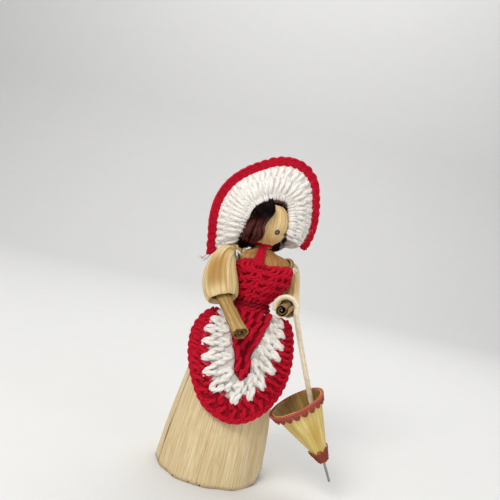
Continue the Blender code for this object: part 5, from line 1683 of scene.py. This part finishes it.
class DOLL_OT_bonnet(Operator):
    """Crocheted bonnet: crown, three rows of brim posts and the red edging"""
    bl_idname = "doll.bonnet"
    bl_label = "Bonnet"

    def execute(self, context):
        rng = np.random.default_rng(5)
        radius = sizes().yarn
        lift = BODICE_WALL * HALF
        inside = HEAD - FRONT * CROWN_DEPTH * HALF
        ground = Ground(lambda u, v: bonnet_surface(u, round(v * BONNET_ROWS)), 180, BONNET_ROWS, inside, loop=True,
                        finer=5)
        strands = Strands()
        begin = (BRIM_START + NAPE_BLEND * 0.4 + math.radians(90)) / TAU
        end = (BRIM_END - NAPE_BLEND * 0.4 + math.radians(90)) / TAU
        for count, low, high, first, last, thick in (
            (14, -0.01, 0.15, 0.0, 1.0, 1.15), (26, 0.13, 0.29, 0.0, 1.0, 1.1), (40, 0.27, 0.42, 0.0, 1.0, 1.1),
            (40, 0.37, 0.60, begin, end, 1.15), (31, 0.55, 0.80, begin, end, 1.75), (34, 0.77, 0.945, begin, end, 2.0),
        ):
            starts, ends = stitch_row(count, low, high, begin=first, end=last)
            ends[:, 0] += 0.15 / count
            posts(strands, ground, starts, ends, radius * thick, radius * thick * 0.85, lift - radius * (thick - 1) * 0.5,
                  rng, turns=0.5, count=17, depth=0.5, deep=0.08)
            if thick > 1.5:
                posts(strands, ground, starts, ends, radius * 1.4, radius * 1.3, -0.0004, rng, turns=0.5, count=11)
        for v, first, last in ((0.15, 0.0, 1.0), (0.29, 0.0, 1.0)):
            u = np.linspace(first, last, 240)
            points, normals = ground.read(u, np.full(240, v))
            plait(strands, points + normals * (lift + 0.0003), normals, radius * 0.7, radius * 0.9, 0.0028)
        stitches = dress(strands.piece("bonnet_stitches", look("white_yarn")), "head")
        loose = Strands()
        fuzz(loose, ground, 6000, 0.0014, 0.0026, rng, 0.40, 0.92, begin, end)
        halo = dress(loose.piece("bonnet_fuzz", look("white_yarn")), "head")
        fabric = ground_sheet("bonnet_fabric", ground, "white_yarn", lift * 0.8, 0.0005, 0.045)
        dress(fabric, "head", ["bonnet"])
        self.edging(rng)
        return {"FINISHED"}

    def edging(self, rng):
        """Short red stitches over the brim's edge, with a chain of loops on the outside."""
        thick = sizes().edge_yarn
        first = BRIM_START + NAPE_BLEND * HALF
        last = BRIM_END - NAPE_BLEND * HALF
        scallops = 30

        def place(u, v):
            angle = mix(first, last, u)
            wave = 0.00045 * math.cos(u * scallops * TAU) * v
            radius = brim_outer(angle) - EDGING_RADIUS * 2 + (EDGING_RADIUS * 2 - thick * 0.6 + wave) * v
            return bonnet_place(angle, radius, brim_back(angle))

        ground = Ground(place, 240, 4, HEAD - Vector((0, 1, 0)))
        strands = Strands()
        u = np.linspace(0, 1, 300)
        for v, yarn_radius, width, pitch, ahead in (
            (-0.06, 1.0, 0.95, 0.0040, 0.0010), (0.30, 1.05, 0.9, 0.0042, 0.0006), (0.64, 1.3, 1.15, 0.0044, 0.0),
        ):
            points, normals = ground.read(u, np.full(300, v))
            plait(strands, points + np.array(FRONT) * ahead, normals, thick * yarn_radius, thick * width, pitch)
        for v in (0.12, 0.5):
            strands.add(ground.read(u, np.full(300, v))[0], thick * 1.25, 8)
        fuzz(strands, ground, 2200, 0.0016, 0.0020, rng)
        dress(strands.piece("bonnet_edging_stitches", look("red_yarn")), "head", ["bonnet_edging"])
        tail = Strands()
        end_point, _ = ground.read(np.array([1.0]), np.array([0.2]))
        for index, way in enumerate(((-0.8, 0.1, -0.25), (-0.6, -0.2, -0.7))):
            run = np.array([end_point[0] + np.array(way) * d + np.array([0, 0, -0.4]) * d * d / 0.006
                            for d in np.linspace(0, 0.0062 - index * 0.002, 9)])
            twisted(tail, run, 0.00055, plies=3, pitch=0.0022)
            frays = run[-1] + rng.normal(0, 0.0003, (22, 1, 3)) + np.linspace(0, 0.0022, 4)[None, :, None] * (
                unit(np.array(way) + rng.normal(0, 0.5, (22, 3)))[:, None])
            tail.add(frays, 0.00005, 3)
        dress(tail.piece("bonnet_yarn_ends", look("white_yarn")), "head")


class DOLL_OT_parasol(Operator):
    """Parasol: husk cone, wound handle with its hook, coral lace and the wire"""
    bl_idname = "doll.parasol"
    bl_label = "Parasol"

    def execute(self, context):
        cone = Path([PARASOL_MOUTH, PARASOL_MOUTH + PARASOL_AXIS * PARASOL_HEIGHT])
        lift = (HUSK + GAP) * (TAU + PARASOL_LAP) / TAU
        inside = cone.frame(HALF)[0]

        _, _, side_way, other = cone.frame(HALF)
        facing = math.atan2((FRONT + ACROSS * 0.3).dot(other), (FRONT + ACROSS * 0.3).dot(side_way)) % TAU
        facing /= TAU + PARASOL_LAP

        def canopy(u, v):
            radius = mix(PARASOL_RADIUS, PARASOL_TIP, v)
            angle = u * (TAU + PARASOL_LAP)
            ripple = 0.00012 * waves(angle * 5, 3) * (1 - v) + veins(angle * PARASOL_RADIUS, 6) * (1 - v * 0.7)
            ragged = -0.0003 * max(0.0, waves(angle * 9, 5)) * (v == 0)
            return cone.around(v - ragged / PARASOL_HEIGHT, angle, radius + lift * u + ripple - 0.0001)

        made = grid_piece("parasol_husk", canopy, 240, 30, [look("golden_husk"), look("golden_shaded_inside")],
                          (TAU * PARASOL_RADIUS, PARASOL_HEIGHT), wall=sizes().husk_wall, outward=inside,
                          tone=lambda u, v: 0.1 + 0.15 * waves(u * 9 + v, 2) + 0.6 * step(0.97, 1.0, u)
                          + 0.8 * math.exp(-((u - facing) / 0.05) ** 2 - ((v - 0.55) / 0.3) ** 2))
        dress(made, "parasol", ["parasol_canopy"])
        self.lace(cone, lift)
        self.handle(cone)
        dress_node("parasol_wire", "wire")
        return {"FINISHED"}

    def lace(self, cone, lift):
        """Narrow crocheted lace: two header cords, crossing threads and a row of shells."""
        thread = sizes().lace_thread
        slope = (PARASOL_RADIUS - PARASOL_TIP) / PARASOL_HEIGHT
        start_radius = PARASOL_RADIUS + lift + thread * HALF

        def at(turn, down, out):
            return tuple(cone.around(down / PARASOL_HEIGHT, turn * TAU, start_radius - slope * down + out))

        rim = Strands()
        turns = np.linspace(0, 1, 401)[:-1]
        for down, wide in ((thread, 1.25), (0.0017, 1.0)):
            line = np.array([at(turn, down, thread * HALF) for turn in turns])
            normal = unit(line - np.array([tuple(cone.frame(down / PARASOL_HEIGHT)[0])] * len(line)))
            plait(rim, np.vstack([line, line[:1]]), np.vstack([normal, normal[:1]]), thread * wide, thread * 1.1,
                  0.0016, closed=True)
        for phase in (0.0, HALF):
            waves_round = LACE_SCALLOPS * 2
            line = [at(turn, 0.0006 + 0.0011 * abs(math.sin((turn * waves_round + phase) * math.pi)),
                       thread * (1 + math.sin((turn * waves_round * 2 + phase) * math.pi)) * HALF) for turn in turns]
            rim.add(np.array(line), thread, 5, closed=True)
        shells = LACE_SCALLOPS
        for shell in range(shells):
            middle = (shell + HALF) / shells
            for fan in (-1.0, -HALF, 0.0, HALF, 1.0):
                reach = (LACE_WIDTH - 0.0019) * (1 - 0.42 * fan * fan)
                loop = []
                for index in range(13):
                    angle = math.pi * index / 12
                    turn = middle + (fan * 0.30 * (0.4 + 0.6 * math.sin(angle)) - 0.15 * math.cos(angle)) / shells
                    loop.append(at(turn, 0.0017 + reach * math.sin(angle) ** 0.8, thread * (1.4 - abs(fan) * 0.5)))
                rim.add(np.array(loop), thread * 1.2, 6, look=1)
        finishes = [look("coral_thread"), look("brick_thread")]
        dress(rim.piece("rim_lace", finishes), "parasol", ["parasol_rim_lace"])

        tip = Strands()
        top = PARASOL_HEIGHT - TIP_LACE
        turns = np.linspace(0, 1, 121)[:-1]
        for row in range(5):
            down = top + TIP_LACE * row / 4.3
            line = np.array([at(turn, down + 0.0003 * math.sin(turn * TAU * 6 + row), -thread) for turn in turns])
            middle = np.array([tuple(cone.frame(down / PARASOL_HEIGHT)[0])] * len(line))
            line = middle + unit(line - middle) * np.maximum(np.linalg.norm(line - middle, axis=1, keepdims=True), 0.0017)
            normal = unit(line - middle)
            plait(tip, np.vstack([line, line[:1]]), np.vstack([normal, normal[:1]]), thread * 1.1, thread * 1.1,
                  0.0014, closed=True)
        for scallop in range(7):
            middle = scallop / 7
            loop = [at(middle - 0.05 * math.cos(math.pi * index / 10), top - 0.0016 * math.sin(math.pi * index / 10),
                       0.0) for index in range(11)]
            tip.add(np.array(loop), thread * 1.1, 5)
        dress(tip.piece("tip_lace", look("brick_thread")), "parasol", ["parasol_tip_lace"])

    def handle(self, cone):
        """A strip of husk wound up the wire in a close spiral, over the hook and down to the cone's tip."""
        arm = ARMS["left"]
        forearm = Path([Vector(arm["elbow"]), Vector(arm["hand"])])
        centre, run, _, _ = forearm.frame(HOOK_SHARE)
        level = (ACROSS - run * ACROSS.dot(run)).normalized()
        rise = (UP - run * UP.dot(run)).normalized()
        points = []
        for index in range(15):
            angle = mix(HOOK_START, HOOK_END, index / 14)
            points.append(centre + (level * math.cos(angle) + rise * math.sin(angle)) * HOOK_RADIUS)
        tip = cone.frame(1)[0]
        points += bezier(points[-1], (HANDLE_ENTRY - points[-1]) * HANDLE_REACHES[0],
                         (tip - HANDLE_ENTRY) * HANDLE_REACHES[1], tip, 16)[1:]
        route = Path(even(np.array([tuple(p) for p in points]), 90))
        stop = 1 - WRAP_STOP / route.length
        pitch = 0.0042

        def place(u, v):
            if v == 0 or v == 1:
                return route.frame(stop * v + (0.0002 if v == 0 else -0.0002) / route.length)[0] + (
                    route.around(stop * v, u * TAU, HANDLE_RADIUS * 0.55) - route.frame(stop * v)[0])
            turn = (u + v * stop * route.length / pitch) % 1
            lap = 0.00016 * turn + 0.00005 * math.sin(u * TAU * 7)
            return route.around(stop * v, u * TAU, HANDLE_RADIUS - 0.00016 + lap)

        made = grid_piece("handle_wrap_strip", place, 28, 240, look("wrap"), (TAU * HANDLE_RADIUS, route.length),
                          loop=True, caps=True, tone=lambda u, v: 0.5 * (((u + v * stop * route.length / pitch) % 1) > 0.92))
        dress(made, "parasol", ["parasol_handle"])


class DOLL_OT_stage(Operator):
    """Pale floor and backdrop, soft lights and the camera"""
    bl_idname = "doll.stage"
    bl_label = "Stage"

    def execute(self, context):
        scene = context.scene
        made = bpy.data.materials.new("pale_paper")
        made.use_nodes = True
        tree = made.node_tree
        shader = tree.nodes["Principled BSDF"]
        shader.inputs["Roughness"].default_value = 0.9
        place = add(tree, "ShaderNodeTexCoord").outputs["Object"]
        grain = noise(tree, scaled(tree, place, (0.03, 0.03, 0.03)), 1.0, 2.0)
        base = tuple(colours().floor)
        tree.links.new(shade(tree, grain, ((0.3, darker(base, 0.985)), (0.7, base))), shader.inputs["Base Color"])
        bpy.ops.object.select_all(action="DESELECT")
        bpy.ops.mesh.primitive_plane_add(size=3.0, location=(0, 0.2, -0.0001))
        floor = bpy.context.object
        floor.name = "floor"
        bpy.ops.object.mode_set(mode="EDIT")
        bpy.ops.mesh.select_mode(type="EDGE")
        bpy.ops.mesh.select_all(action="DESELECT")
        bpy.ops.object.mode_set(mode="OBJECT")
        for line in floor.data.edges:
            line.select = all(floor.data.vertices[index].co.y > 1 for index in line.vertices)
        bpy.ops.object.mode_set(mode="EDIT")
        bpy.ops.mesh.extrude_region_move(TRANSFORM_OT_translate={"value": (0, 0, 2.2)})
        bpy.ops.mesh.select_all(action="DESELECT")
        bpy.ops.object.mode_set(mode="OBJECT")
        for line in floor.data.edges:
            ends = [floor.data.vertices[index].co for index in line.vertices]
            line.select = all(end.y > 1 and end.z < 0.1 for end in ends)
        bpy.ops.object.mode_set(mode="EDIT")
        bpy.ops.mesh.bevel(offset=0.6, segments=16)
        bpy.ops.object.mode_set(mode="OBJECT")
        floor.data.transform(floor.matrix_world)
        floor.matrix_world = Matrix.Identity(4)
        floor.data.shade_smooth()
        floor.data.materials.append(made)

        world = bpy.data.worlds.new("soft_room")
        scene.world = world
        world.use_nodes = True
        ground = world.node_tree.nodes["Background"]
        ground.inputs["Color"].default_value = linear("F6F7F9")
        ground.inputs["Strength"].default_value = 0.52
        doll = (0, 0, 0.09)
        for name, place, aim, energy, size in (
            ("key", (-0.42, -0.60, 0.72), doll, 5.6, 0.34),
            ("fill", (0.65, -0.55, 0.35), doll, 1.5, 0.7),
            ("back", (0.25, 0.55, 0.8), doll, 1.6, 0.5),
            ("wall", (0, 0.75, 1.9), (0, 1.7, 0.75), 21.0, 1.8),
        ):
            lamp = bpy.data.lights.new(name, "AREA")
            lamp.energy = energy
            lamp.size = size
            lamp.color = (1.0, 0.985, 0.96)
            light = bpy.data.objects.new(name, lamp)
            scene.collection.objects.link(light)
            light.location = place
            light.rotation_euler = (Vector(aim) - Vector(place)).to_track_quat("-Z", "Y").to_euler()

        lens = bpy.data.cameras.new("camera")
        lens.lens = CAMERA_LENS
        lens.sensor_width = 36.0
        lens.clip_start = 0.01
        view = bpy.data.objects.new("camera", lens)
        scene.collection.objects.link(view)
        turned = Matrix((PICTURE_RIGHT, PICTURE_UP, PICTURE_RIGHT.cross(PICTURE_UP))).transposed().to_4x4()
        view.matrix_world = Matrix.Translation(CAMERA + SHIFT) @ turned
        scene.camera = view
        scene.view_settings.view_transform = "Standard"
        return {"FINISHED"}


class DOLL_PT_pieces(Panel):
    """Lists the doll's pieces in the sidebar"""
    bl_idname = "DOLL_PT_pieces"
    bl_label = "Corn Husk Doll"
    bl_space_type = "VIEW_3D"
    bl_region_type = "UI"
    bl_category = "Doll"

    def draw(self, context):
        layout = self.layout
        for group in (context.scene.doll_sizes, context.scene.doll_colours):
            box = layout.box()
            for key in group.__annotations__:
                box.prop(group, key)
        for operator in OPERATORS:
            layout.operator(operator.bl_idname)


OPERATORS = (
    DOLL_OT_stage, DOLL_OT_skirt, DOLL_OT_torso, DOLL_OT_bodice, DOLL_OT_apron, DOLL_OT_arms,
    DOLL_OT_head, DOLL_OT_hair, DOLL_OT_bonnet, DOLL_OT_parasol,
)
CLASSES = (DollSizes, DollColours, *OPERATORS, DOLL_PT_pieces)


def register():
    for one in CLASSES:
        bpy.utils.register_class(one)
    bpy.types.Scene.doll_sizes = PointerProperty(type=DollSizes)
    bpy.types.Scene.doll_colours = PointerProperty(type=DollColours)


def unregister():
    del bpy.types.Scene.doll_colours
    del bpy.types.Scene.doll_sizes
    for one in reversed(CLASSES):
        bpy.utils.unregister_class(one)


def main():
    register()
    for operator in OPERATORS:
        group, name = operator.bl_idname.split(".")
        getattr(getattr(bpy.ops, group), name)()
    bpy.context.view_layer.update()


if __name__ == "__main__":
    main()
